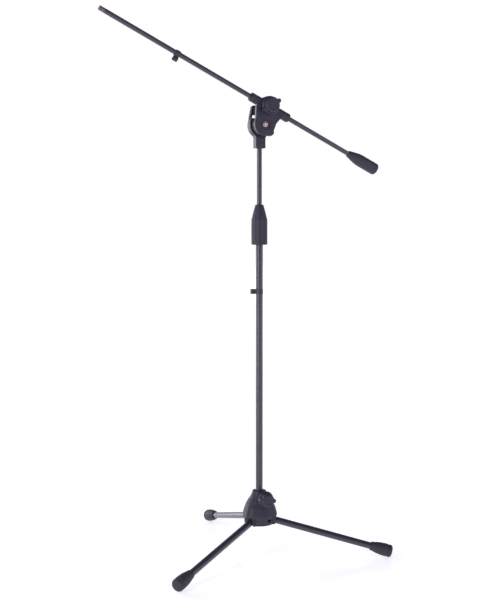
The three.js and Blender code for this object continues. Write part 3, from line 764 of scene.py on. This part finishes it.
FOOT_LENGTH = 63
TUBE_IN_FOOT = 44
FOOT_OUTLINE = [
    (LEG_TUBE_R + 0.3, 0, 0.3),
    (11.6, 0, 0.8),
    (12.4, 1.4, 0.8),
    (12.5, 5.6, 1),
    (15.2, 16.5, 5),
    (16.6, 25, 8),
    (17.6, 38, 12),
    (17.8, 48, 1.2),
    (16.4, 49.4, 0.4),
    (16.4, 51, 0.2),
    (0, 51),
    (0, TUBE_IN_FOOT),
    (LEG_TUBE_R + 0.3, TUBE_IN_FOOT),
]
PAD_OUTLINE = [
    (0, 51.3),
    (16.4, 51.3, 0.3),
    (17.5, 52.6, 0.8),
    (17.5, 56, 2),
    (15.5, 60, 2),
    (11, 62.2, 1.5),
    (9.6, 62.3, 0.4),
    (9, 61.6, 0.4),
    (7.6, 61.6, 0.4),
    (7, 62.7, 0.4),
    (0, FOOT_LENGTH),
]


def foot_start():
    """How far down the leg the foot starts, so that its lowest point is on the floor."""
    s, c = math.sin(slope), math.cos(slope)
    return min((LEG_PIVOT_Z - corner[0] * c) / s - corner[1] for corner in FOOT_OUTLINE + PAD_OUTLINE)


def leg_root():
    """A flat tongue round the leg's bolt, with a spigot in the tube."""
    half = 6.4
    tongue = slab([(-8.2, 8.2, 8.1), (17.8, 8.2), (17.8, -8.2), (-8.2, -8.2, 8.1)], -half, half)
    spigot = moved(rod(7.9, 17.6, 46, 64), turn(90, "Y"))
    bolt_room = slab(circle(BOLT_BORE_R, 32), -20, 20)
    whole = cut(join(tongue, spigot), bolt_room)
    return cast(whole, 0.5, 4)


start = foot_start()
for number in (1, 2, 3):
    body = f"leg_{number}"
    down = leg_frame(number)
    put(f"look_leg_root_{number}", leg_root(), down @ turn(-90, "Y"), body, "dark_plastic")
    tube = pipe(LEG_TUBE_R, 8.2, LEG_TUBE_START, start + TUBE_IN_FOOT - 0.3, 0.5)
    put(f"look_leg_tube_{number}", tube, down, body, "tube_paint")
    put(f"look_foot_{number}", turned(FOOT_OUTLINE), down @ shift(0, 0, start), body, "rubber")
    put(f"look_foot_pad_{number}", turned(PAD_OUTLINE), down @ shift(0, 0, start), body, "rubber")

    across = leg_hub(number) @ BACK
    bolt = turned(
        [
            (0, BOLT_HEAD_Y + 1.2),
            (1.9, BOLT_HEAD_Y + 1.2, 0.2),
            (2.1, BOLT_HEAD_Y, 0.2),
            (3.9, BOLT_HEAD_Y, 0.5),
            (3.9, BOLT_HEAD_Y + 2.2, 0.3),
            (3, BOLT_HEAD_Y + 2.3),
            (3, BOLT_END_Y, 0.5),
            (0, BOLT_END_Y),
        ],
        48,
    )
    put(f"look_leg_bolt_{number}", bolt, across, "base", "black_steel")
    nut = turned(
        [
            (3.3, 7, 0.2),
            (4.6, 7, 0.3),
            (5, 7.3),
            (5, NUT_END_Y - 0.3),
            (4.6, NUT_END_Y, 0.3),
            (3.3, NUT_END_Y, 0.2),
        ],
        96,
        hexagon(4.33),
    )
    put(f"look_leg_nut_{number}", nut, across, "base", "black_steel")

# ---------------------------------------------------------------- pole

POLE_BOTTOM_Z = 92
LOWER_TUBE_TOP_Z = 925
LOWER_TUBE_R = 10
UPPER_TUBE_R = 7
UPPER_TUBE_BOTTOM_Z = 455
YOKE_BOTTOM_Z = 1148
YOKE_RIB_TOP_Z = 1174

put(
    "look_lower_tube",
    pipe(LOWER_TUBE_R, 8.6, POLE_BOTTOM_Z, LOWER_TUBE_TOP_Z, 0.6),
    STAND,
    "pole",
    "tube_paint",
)
put(
    "look_pole_end_plug",
    turned(
        [
            (0, POLE_BOTTOM_Z - 4),
            (9.4, POLE_BOTTOM_Z - 4, 1),
            (9.8, POLE_BOTTOM_Z - 0.3, 0.4),
            (8.3, POLE_BOTTOM_Z - 0.3),
            (8.3, POLE_BOTTOM_Z + 18, 0.8),
            (0, POLE_BOTTOM_Z + 18),
        ]
    ),
    STAND,
    "pole",
    "dark_plastic",
)
CLIP_WIDTH = 14
POLE_CLIP_TURN_DEG = 154
clip_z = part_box("pole_clip")[0][2] / MM
put(
    "look_pole_clip",
    cable_clip(LOWER_TUBE_R, CLIP_WIDTH),
    STAND @ shift(0, 0, clip_z) @ turn(POLE_CLIP_TURN_DEG, "Z"),
    "pole_clip",
    "dark_plastic",
)

# ---------------------------------------------------------------- clutch

CLUTCH_BOTTOM_Z = 879
CLUTCH_SHOULDER_Z = 951
CLUTCH_TOP_Z = 991
CLUTCH_R = 22.5
CLUTCH_FLUTES = 12
FLUTE_HALF_WIDTH = 4.1
FLUTE_DEPTH = 1.35
COLLET_BOTTOM_Z = LOWER_TUBE_TOP_Z + 6.3


def fluted(angle, r, z):
    """Hollow flutes up the grip that run out on its cone and above its bottom ring."""
    if r < 12 or z > CLUTCH_TOP_Z - 6 or r < 17 and z < CLUTCH_SHOULDER_Z:
        return r
    pitch = 2 * math.pi / CLUTCH_FLUTES
    off = ((angle % pitch) - pitch / 2) * r
    half_width = FLUTE_HALF_WIDTH * r / CLUTCH_R
    hollow = max(0, 1 - (off / half_width) ** 2)
    fade = smooth_step(CLUTCH_BOTTOM_Z + 2, CLUTCH_BOTTOM_Z + 8, z)
    fade *= 1 - smooth_step(CLUTCH_SHOULDER_Z - 4, CLUTCH_SHOULDER_Z + 26, z)
    return r - FLUTE_DEPTH * fade * hollow


clutch_outline = [
    (16, CLUTCH_BOTTOM_Z, 0.6),
    (20.4, CLUTCH_BOTTOM_Z, 1),
    (21.8, CLUTCH_BOTTOM_Z + 1, 1.5),
    (CLUTCH_R, CLUTCH_BOTTOM_Z + 3.5, 2),
    (CLUTCH_R, CLUTCH_SHOULDER_Z - 3, 6),
    (21.3, CLUTCH_SHOULDER_Z + 2, 6),
    (18.4, CLUTCH_SHOULDER_Z + 14, 8),
    (15, CLUTCH_SHOULDER_Z + 27, 8),
    (12, CLUTCH_TOP_Z - 2, 1.5),
    (11, CLUTCH_TOP_Z, 0.8),
    (8.2, CLUTCH_TOP_Z, 0.6),
    (7.6, CLUTCH_TOP_Z - 1.4, 0.4),
    (7.6, CLUTCH_TOP_Z - 8),
    (9.9, CLUTCH_TOP_Z - 8.2),
    (15.8, COLLET_BOTTOM_Z + 8),
    (15.8, CLUTCH_BOTTOM_Z + 12),
    (16, CLUTCH_BOTTOM_Z + 12),
]
put("look_clutch_grip", turned(clutch_outline, 240, fluted, step=1.2), STAND, "clutch", "moulded")

bush_bottom = CLUTCH_BOTTOM_Z + 14
put(
    "look_clutch_bush",
    turned(
        [
            (10.3, bush_bottom, 0.4),
            (15.4, bush_bottom, 0.6),
            (15.4, LOWER_TUBE_TOP_Z + 6, 0.6),
            (7.3, LOWER_TUBE_TOP_Z + 6, 0.4),
            (7.3, LOWER_TUBE_TOP_Z + 0.3),
            (10.3, LOWER_TUBE_TOP_Z + 0.3),
        ]
    ),
    STAND,
    "pole",
    "dark_plastic",
)
collet = turned(
    [
        (7.3, COLLET_BOTTOM_Z),
        (15, COLLET_BOTTOM_Z, 0.5),
        (15, COLLET_BOTTOM_Z + 8, 1),
        (9.4, COLLET_BOTTOM_Z + 50, 0.5),
        (7.3, COLLET_BOTTOM_Z + 50, 0.4),
    ]
)
slits = []
for azimuth in (0, 60, 120):
    slit = prism(rectangle(-20, 20, -0.8, 0.8), COLLET_BOTTOM_Z + 18, COLLET_BOTTOM_Z + 54)
    slits.append(moved(slit, turn(azimuth, "Z")))
put("look_clutch_collet", cut(collet, *slits), STAND, "pole", "dark_plastic")

# ---------------------------------------------------------------- upper tube

put(
    "look_upper_tube",
    pipe(UPPER_TUBE_R, 5.8, UPPER_TUBE_BOTTOM_Z, YOKE_RIB_TOP_Z + 4, 0.5),
    STAND,
    "upper_pole",
    "tube_paint",
)
put(
    "look_upper_tube_glide",
    turned(
        [
            (0, UPPER_TUBE_BOTTOM_Z - 14),
            (8.3, UPPER_TUBE_BOTTOM_Z - 14, 1),
            (8.3, UPPER_TUBE_BOTTOM_Z - 0.3, 0.4),
            (5.5, UPPER_TUBE_BOTTOM_Z - 0.3),
            (5.5, UPPER_TUBE_BOTTOM_Z + 16, 0.6),
            (0, UPPER_TUBE_BOTTOM_Z + 16),
        ]
    ),
    STAND,
    "upper_pole",
    "dark_plastic",
)

# ---------------------------------------------------------------- head

YOKE_DISC_R = 33
YOKE_FLAT_TOP = 19
YOKE_STEM_HALF = 14.6
YOKE_HALF_DEPTH = 9.5
HUB_R = 28
DISC_R = 31.5
HOLDER_BACK_Y = -11.8
DISC_BACK_Y = -28.5
HOLDER_FRONT_Y = -37.5
HUB_DEPTH = HOLDER_BACK_Y - DISC_BACK_Y
HOLDER_DEPTH = HOLDER_BACK_Y - HOLDER_FRONT_Y
DRUM_R = 28
DRUM_Z = 51
CLAMP_X = -9
SLEEVE_R = 12.5
SLEEVE_HALF = 63
SLEEVE_MIDDLE_X = -2.066
TILT_BORE_R = 4.4
TILT_BOLT_BACK_Y = 30.5
RECESS_R = 15  # round the tilt bolt, in the disc's front
RECESS_DEPTH = 2
yoke_bottom = YOKE_BOTTOM_Z - PIVOT_Z
rib_top = YOKE_RIB_TOP_Z - PIVOT_Z


def arc(radius, start_deg, end_deg, steps=40):
    angles = [math.radians(start_deg + (end_deg - start_deg) * i / steps) for i in range(steps + 1)]
    return [(radius * math.cos(a), radius * math.sin(a)) for a in angles]


def head_yoke():
    """A flat casting: a disc with a flat top on a ribbed stem that sockets the upper tube."""
    top_deg = math.degrees(math.asin(YOKE_FLAT_TOP / YOKE_DISC_R))
    outline = [
        (-YOKE_STEM_HALF, yoke_bottom, 1),
        (YOKE_STEM_HALF, yoke_bottom, 1),
        (YOKE_STEM_HALF, -34, 5),
        *arc(YOKE_DISC_R, -58, top_deg),
        *arc(YOKE_DISC_R, 180 - top_deg, 238),
        (-YOKE_STEM_HALF, -34, 5),
    ]
    body = slab(outline, -YOKE_HALF_DEPTH, YOKE_HALF_DEPTH)
    cutters = [
        rod(UPPER_TUBE_R + 0.3, -100, rib_top + 4.3, 64),
        moved(rod(TILT_BORE_R, -60, 60), turn(90, "X")),
    ]
    for side in (-1, 1):
        face = side * YOKE_HALF_DEPTH
        for i in range(6):
            x = -10.5 + 4.2 * i
            groove = rectangle(x - 0.9, x + 0.9, yoke_bottom - 2, rib_top - 1)
            cutters.append(slab(groove, face - 0.8, face + 0.8))
        line = rectangle(-20, 20, rib_top, rib_top + 1.4)
        cutters.append(slab(line, face - 0.8, face + 0.8))
    rim_groove = turned(rectangle(29, 30.4, -0.7, 0.7), 144)
    cutters.append(moved(rim_groove, at(0, YOKE_HALF_DEPTH, 0) @ turn(90, "X")))
    return cast(cut(body, *cutters), 0.5, 5)


put("look_head_yoke", head_yoke(), HEAD, "head", "casting")
put(
    "look_friction_washer",
    pipe(27, 4.6, 0, 1.6, 0.2),
    HEAD @ shift(0, -YOKE_HALF_DEPTH - 0.3, 0) @ FRONT,
    "head",
    "friction_fibre",
)
put(
    "look_tilt_rear_washer",
    pipe(10, 4.3, 0, 1.8, 0.4),
    HEAD @ shift(0, YOKE_HALF_DEPTH + 0.3, 0) @ BACK,
    "head",
    "bright_steel",
)


def knurled(angle, r, z):
    """Fine teeth round the hub behind the holder's disc."""
    if r < HUB_R - 0.2 or r > HUB_R + 0.2 or z > HUB_DEPTH - 1:
        return r
    return r - 0.35 + 0.35 * math.cos(72 * angle)


def boom_holder():
    """Hub and disc on the tilt axis, a web up to the clamp drum and the boom's sleeve, and a stop lug."""
    disc = turned(
        [
            (0, 0),
            (HUB_R - 1, 0, 0.6),
            (HUB_R, 1, 0.6),
            (HUB_R, HUB_DEPTH, 0.3),
            (DISC_R, HUB_DEPTH, 0.8),
            (DISC_R, HOLDER_DEPTH - 2, 1.6),
            (DISC_R - 2, HOLDER_DEPTH, 1.6),
            (0, HOLDER_DEPTH),
        ],
        288,
        knurled,
        step=2,
    )
    disc = moved(disc, at(0, HOLDER_BACK_Y, 0) @ turn(90, "X"))
    drum = turned(
        [
            (0, 0),
            (DRUM_R - 1, 0, 0.6),
            (DRUM_R, 1, 0.6),
            (DRUM_R, HUB_DEPTH + 1, 0.3),
            (DRUM_R - 0.8, HUB_DEPTH + 1.6, 0.3),
            (DRUM_R - 0.8, HUB_DEPTH + 2.8, 0.3),
            (DRUM_R, HUB_DEPTH + 3.4, 0.3),
            (DRUM_R, HOLDER_DEPTH - 1.5, 0.8),
            (DRUM_R - 1.5, HOLDER_DEPTH, 1),
            (0, HOLDER_DEPTH),
        ],
        144,
    )
    drum = moved(drum, at(CLAMP_X, HOLDER_BACK_Y, DRUM_Z) @ turn(90, "X"))
    web = slab(
        [
            (-31.2, 0),
            (-34.7, 9.5, 8),
            (-43.2, 29.8, 10),
            (-46, 40.2, 1),
            (-45, 46, 1),
            (37, 46, 1),
            (38, 40.2, 1),
            (34, 30, 8),
            (29.9, 17, 8),
            (31, 3),
            (0, -20),
        ],
        HOLDER_FRONT_Y + 0.4,
        DISC_BACK_Y + 1,
    )
    lug = slab(
        [(12.9, -28.5), (31.7, -19.1, 3), (35, -10.5, 3), (27.5, 5.9, 4), (10, 0)],
        HOLDER_FRONT_Y + 1,
        HOLDER_FRONT_Y + 13,
    )
    # The sleeve has a shallow groove near each mouth.
    groove_r = SLEEVE_R - 0.6
    sleeve_end = [
        (0, 0),
        (SLEEVE_R, 0, 0.5),
        (SLEEVE_R, 13, 0.3),
        (groove_r, 13.6, 0.3),
        (groove_r, 15.2, 0.3),
        (SLEEVE_R, 15.8, 0.3),
    ]
    near_end = [(r, z - SLEEVE_HALF, *edge) for r, z, *edge in sleeve_end]
    far_end = [(r, SLEEVE_HALF - z, *edge) for r, z, *edge in reversed(sleeve_end)]
    sleeve = turned(near_end + far_end)
    along = at(SLEEVE_MIDDLE_X, BOOM_Y, BOOM_Z) @ turn(90, "Y")
    rooms = [
        moved(rod(8.2, -80, 80, 64), along),
        moved(rod(10, -80, -SLEEVE_HALF + 22, 64), along),
        moved(rod(10, SLEEVE_HALF - 22, 80, 64), along),
        moved(rod(TILT_BORE_R, -60, 60), turn(90, "X")),
        moved(rod(RECESS_R, -HOLDER_FRONT_Y - RECESS_DEPTH, 60, 96), turn(90, "X")),
        moved(rod(4.3, -BOOM_Y + 1, 80), at(CLAMP_X, 0, BOOM_Z) @ turn(90, "X")),
    ]
    whole = join(disc, drum, web, lug, moved(sleeve, along))
    return cast(cut(whole, *rooms), 0.5, 4)


put("look_boom_holder", boom_holder(), TILT, "holder", "casting")

for letter, flip in (("a", 180), ("b", 0)):
    bush = turned(
        [
            (6.8, -19, 0.3),
            (9.7, -19, 0.5),
            (9.7, 0.3),
            (11.4, 0.3, 0.3),
            (11.4, 1.8, 0.7),
            (7.4, 1.8, 0.5),
            (6.8, 0.8, 0.3),
        ]
    )
    place = BOOM @ shift(0, 0, SLEEVE_MIDDLE_X) @ turn(flip, "Y") @ shift(0, 0, SLEEVE_HALF)
    put(f"look_sleeve_bush_{letter}", bush, place, "holder", "dark_plastic")

bolt_face = -HOLDER_FRONT_Y - RECESS_DEPTH + 0.3
put(
    "look_tilt_washer",
    pipe(7.4, 4.3, bolt_face, bolt_face + 2, 0.5),
    TILT @ FRONT,
    "holder",
    "bright_steel",
)

hex_face = bolt_face + 2.3


def hex_head(angle, r, z):
    """The bolt is hexagonal in front of its washer and round behind it."""
    return hexagon(5.72)(angle, r, z) if z > hex_face - 0.01 else r


put(
    "look_tilt_bolt",
    turned(
        [
            (0, -TILT_BOLT_BACK_Y),
            (3.2, -TILT_BOLT_BACK_Y),
            (4, -TILT_BOLT_BACK_Y + 0.8),
            (4, hex_face),
            (6, hex_face),
            (6.6, hex_face + 0.5),
            (6.6, hex_face + 4.8),
            (5.4, hex_face + 5.5),
            (0, hex_face + 5.5),
        ],
        96,
        hex_head,
        step=2,
    ),
    TILT @ FRONT,
    "holder",
    "bright_steel",
)
cap_face = hex_face + 5.8
put(
    "look_tilt_bolt_cap",
    turned(
        [
            (0, cap_face),
            (4.6, cap_face, 0.3),
            (4.6, cap_face + 1.8, 1),
            (3.2, cap_face + 3.2, 1.2),
            (0, cap_face + 3.4),
        ]
    ),
    TILT @ FRONT,
    "holder",
    "brass_cap",
)


def tilt_lever():
    """A round hub with a tapered handle standing up from it, and a window near the hub."""
    depth = 13
    hub = turned(
        [
            (0, 0),
            (14, 0, 0.8),
            (15, 1, 0.8),
            (13, depth + 3, 1.5),
            (11, depth + 6, 1.5),
            (8, depth + 6.8, 0.8),
            (7, depth + 5.8, 0.6),
            (0, depth + 6),
        ]
    )
    handle = slab(
        [
            (-14, 0),
            (-21, 12, 6),
            (-22.6, 21, 10),
            (-15.8, 54, 5),
            (-12, 58, 5),
            (2, 58, 5),
            (6, 54, 5),
            (17.6, 21, 10),
            (17, 12, 6),
            (13, 0),
        ],
        1,
        depth,
    )
    window = slab(
        [
            (-16.5, 21, 3),
            (-14.5, 32, 3),
            (9.5, 32, 3),
            (12.9, 21, 3),
            (12.4, 16.5, 3),
            (-16, 16.5, 3),
        ],
        -1,
        depth + 2,
    )
    bolt_room = moved(rod(4.3, -5, TILT_BOLT_BACK_Y - YOKE_HALF_DEPTH - 2.1), turn(-90, "X"))
    whole = join(moved(hub, turn(-90, "X")), cut(handle, window))
    return cast(cut(whole, bolt_room), 0.5, 5)


put("look_tilt_lever", tilt_lever(), HEAD @ shift(0, YOKE_HALF_DEPTH + 2.6, 0), "tilt_lever", "rubber")

BOOM_KNOB_TURN_DEG = -56.4
CLAMP = TILT @ shift(CLAMP_X, 0, BOOM_Z)
put(
    "look_boom_clamp_screw",
    threaded_rod(
        CLAMP_SCREW_R, CLAMP_THREAD_DEPTH, CLAMP_THREAD_PITCH, -BOOM_Y + 10.3, -HOLDER_FRONT_Y + 15, 1
    ),
    CLAMP @ FRONT,
    "boom_clamp",
    "black_steel",
)
put(
    "look_boom_clamp_knob",
    clamp_knob(22, 26, 30, 22, CLAMP_SCREW_R),
    CLAMP @ shift(0, HOLDER_FRONT_Y - 1, 0) @ turn(BOOM_KNOB_TURN_DEG, "Y") @ FRONT,
    "boom_clamp",
    "moulded",
)

# ---------------------------------------------------------------- boom

BOOM_R = 6.5
MIC_END = -534.066  # along the boom, from where the tilt axis crosses it
STUD_LENGTH = 16
STUD_PITCH = 1.25
GRIP_START = 276.934
GRIP_END = 381.934
GRIP_R = 17.2
CLIP_ALONG = -301.066
tube_start = MIC_END + STUD_LENGTH

put("look_boom_tube", pipe(BOOM_R, 5.3, tube_start, GRIP_END - 14, 0.5), BOOM, "boom", "tube_paint")


def stud_thread(angle, r, z):
    """A fine thread cut into the stud's outside, fading out at both ends."""
    if r < 6.4:
        return r
    turns = ((z - MIC_END) / STUD_PITCH - angle / (2 * math.pi)) % 1
    ridge = 1 - abs(2 * turns - 1)
    fade = smooth_step(MIC_END + 0.4, MIC_END + 1.4, z)
    fade *= 1 - smooth_step(tube_start - 2.6, tube_start - 2, z)
    return r - 0.6 * fade * (1 - smooth_step(0.1, 0.9, ridge))


put(
    "look_mic_stud",
    turned(
        [
            (0, MIC_END),
            (5.7, MIC_END, 0.3),
            (6.5, MIC_END + 0.9),
            (6.5, tube_start - 0.9),
            (6.1, tube_start - 0.3),
            (5, tube_start - 0.3),
            (5, tube_start + 18, 0.6),
            (0, tube_start + 18),
        ],
        96,
        stud_thread,
        step=0.18,
    ),
    BOOM,
    "boom",
    "stud_metal",
)

core_start = GRIP_START + 30
core_end = GRIP_END - 16
grip_outline = [
    (6.8, GRIP_START, 0.2),
    (8.2, GRIP_START, 0.6),
    (9.2, GRIP_START + 1.2, 0.8),
    (12.6, GRIP_START + 16, 14),
    (15.8, GRIP_START + 30, 16),
    (GRIP_R, GRIP_START + 42, 16),
    (GRIP_R, GRIP_END - 16.4, 0.3),
    (GRIP_R - 0.7, GRIP_END - 15.8, 0.3),
    (GRIP_R - 0.7, GRIP_END - 14.6, 0.3),
    (GRIP_R, GRIP_END - 14, 0.3),
    (GRIP_R, GRIP_END - 6, 2),
    (GRIP_R - 1.6, GRIP_END - 2.4, 3),
    (GRIP_R - 5, GRIP_END - 0.6, 2),
    (0, GRIP_END),
    (0, GRIP_END - 13),
    (6.8, GRIP_END - 13),
    (6.8, core_end + 0.3),
    (14.3, core_end + 0.3),
    (14.3, core_start - 0.3),
    (6.8, core_start - 0.3),
]
put("look_counterweight_grip", turned(grip_outline, 128), BOOM, "boom", "moulded")
put(
    "look_counterweight_core",
    pipe(14, 6.8, core_start, core_end, 0.8),
    BOOM,
    "boom",
    "black_steel",
)
put(
    "look_boom_clip",
    cable_clip(BOOM_R, CLIP_WIDTH),
    BOOM @ shift(0, 0, CLIP_ALONG - CLIP_WIDTH / 2),
    "boom_clip",
    "dark_plastic",
)

# ---------------------------------------------------------------- CAD pieces that stay

for node in ("base_clamp_shoe", "boom_clamp_shoe"):
    data = frame["nodes"][node].data
    data.materials.clear()
    data.materials.append(MATERIALS["dark_plastic"])

# ---------------------------------------------------------------- studio

FLOOR_HALF_M = 60
FLOOR_DROP_M = 0.0004  # so that the feet's undersides don't share its plane

floor_shape = bmesh.new()
bmesh.ops.create_grid(floor_shape, x_segments=1, y_segments=1, size=FLOOR_HALF_M)
floor_mesh = bpy.data.meshes.new("floor")
floor_shape.to_mesh(floor_mesh)
floor_shape.free()
floor = bpy.data.objects.new("floor", floor_mesh)
bpy.context.scene.collection.objects.link(floor)
floor.location.z = -FLOOR_DROP_M

floor_material = bpy.data.materials.new("pale_floor")
floor_material.use_nodes = True
tree = floor_material.node_tree
tree.nodes.clear()
spot = add_node(tree, "ShaderNodeTexCoord").outputs["Object"]
mottle = add_node(
    tree,
    "ShaderNodeMapRange",
    {"Value": noise(tree, spot, 3, 2), "To Min": 0.10, "To Max": 0.16},
).outputs[0]
matt = add_node(
    tree,
    "ShaderNodeBsdfPrincipled",
    {"Base Color": colour(0.86, 0.85, 0.89), "Roughness": mottle, "Specular IOR Level": 0.25},
).outputs[0]
glow = add_node(tree, "ShaderNodeEmission", {"Color": colour(1, 1, 1), "Strength": 0.62}).outputs[0]
both = add_node(tree, "ShaderNodeAddShader", {0: matt, 1: glow}).outputs[0]
add_node(tree, "ShaderNodeOutputMaterial", {"Surface": both})
floor_mesh.materials.append(floor_material)

# The surroundings: white for the camera; for everything else white low down and dim overhead.
world = bpy.data.worlds.new("studio")
bpy.context.scene.world = world
world.use_nodes = True
tree = world.node_tree
tree.nodes.clear()
direction = add_node(tree, "ShaderNodeTexCoord").outputs["Generated"]
height = add_node(tree, "ShaderNodeSeparateXYZ", {0: direction}).outputs["Z"]
dim = add_node(tree, "ShaderNodeMapRange", {"Value": height, "From Min": 0.1, "From Max": 0.7}).outputs[0]
walls = blended(tree, dim, colour(0.76, 0.71, 0.94), colour(0.16, 0.14, 0.23))
seen = add_node(tree, "ShaderNodeLightPath").outputs["Is Camera Ray"]
sky = blended(tree, seen, walls, colour(1, 1, 1))
air = add_node(tree, "ShaderNodeBackground", {"Color": sky, "Strength": 1.0}).outputs[0]
add_node(tree, "ShaderNodeOutputWorld", {"Surface": air})


AIM_HEIGHT_M = 0.8


def softbox(name, azimuth_deg, distance, height_m, width, tall, power):
    """An upright soft light, in metres and watts; azimuth 0 is in front (-Y) and -90 to the left (-X)."""
    data = bpy.data.lights.new(name, "AREA")
    data.shape = "RECTANGLE"
    data.size = width
    data.size_y = tall
    data.energy = power
    light = bpy.data.objects.new(name, data)
    bpy.context.scene.collection.objects.link(light)
    angle = math.radians(azimuth_deg)
    away = Vector((math.sin(angle), -math.cos(angle), 0))
    light.location = Vector((pole_middle.x, pole_middle.y, height_m)) + away * distance
    aim = Vector((pole_middle.x, pole_middle.y, AIM_HEIGHT_M)) - light.location
    light.rotation_mode = "QUATERNION"
    light.rotation_quaternion = aim.to_track_quat("-Z", "Y")


CAMERA_AZIMUTH_DEG = -26
softbox("key", CAMERA_AZIMUTH_DEG - 40, 2.4, 1.2, 0.5, 2.3, 24)
softbox("fill", CAMERA_AZIMUTH_DEG + 75, 2.8, 1.3, 0.6, 2.2, 8)
softbox("rear", CAMERA_AZIMUTH_DEG - 128, 2.6, 1.2, 1.3, 2.3, 28)

scene = bpy.context.scene
scene.view_settings.view_transform = "Standard"

CAMERA_DISTANCE_M = 2.62154
CAMERA_HEIGHT_M = 0.85194
CAMERA_LENS_MM = 55.956
CAMERA_PITCH_DEG = 87.204  # from straight down
CAMERA_HEADING_DEG = -25.428  # a little off the azimuth, so that the pole stands right of the middle
camera_data = bpy.data.cameras.new("camera")
camera_data.lens = CAMERA_LENS_MM
camera_data.sensor_fit = "AUTO"
camera_data.sensor_width = 36
camera = bpy.data.objects.new("camera", camera_data)
scene.collection.objects.link(camera)
azimuth = math.radians(CAMERA_AZIMUTH_DEG)
camera.location = (
    pole_middle.x + CAMERA_DISTANCE_M * math.sin(azimuth),
    pole_middle.y - CAMERA_DISTANCE_M * math.cos(azimuth),
    CAMERA_HEIGHT_M,
)
camera.rotation_euler = (math.radians(CAMERA_PITCH_DEG), 0, math.radians(CAMERA_HEADING_DEG))
scene.camera = camera
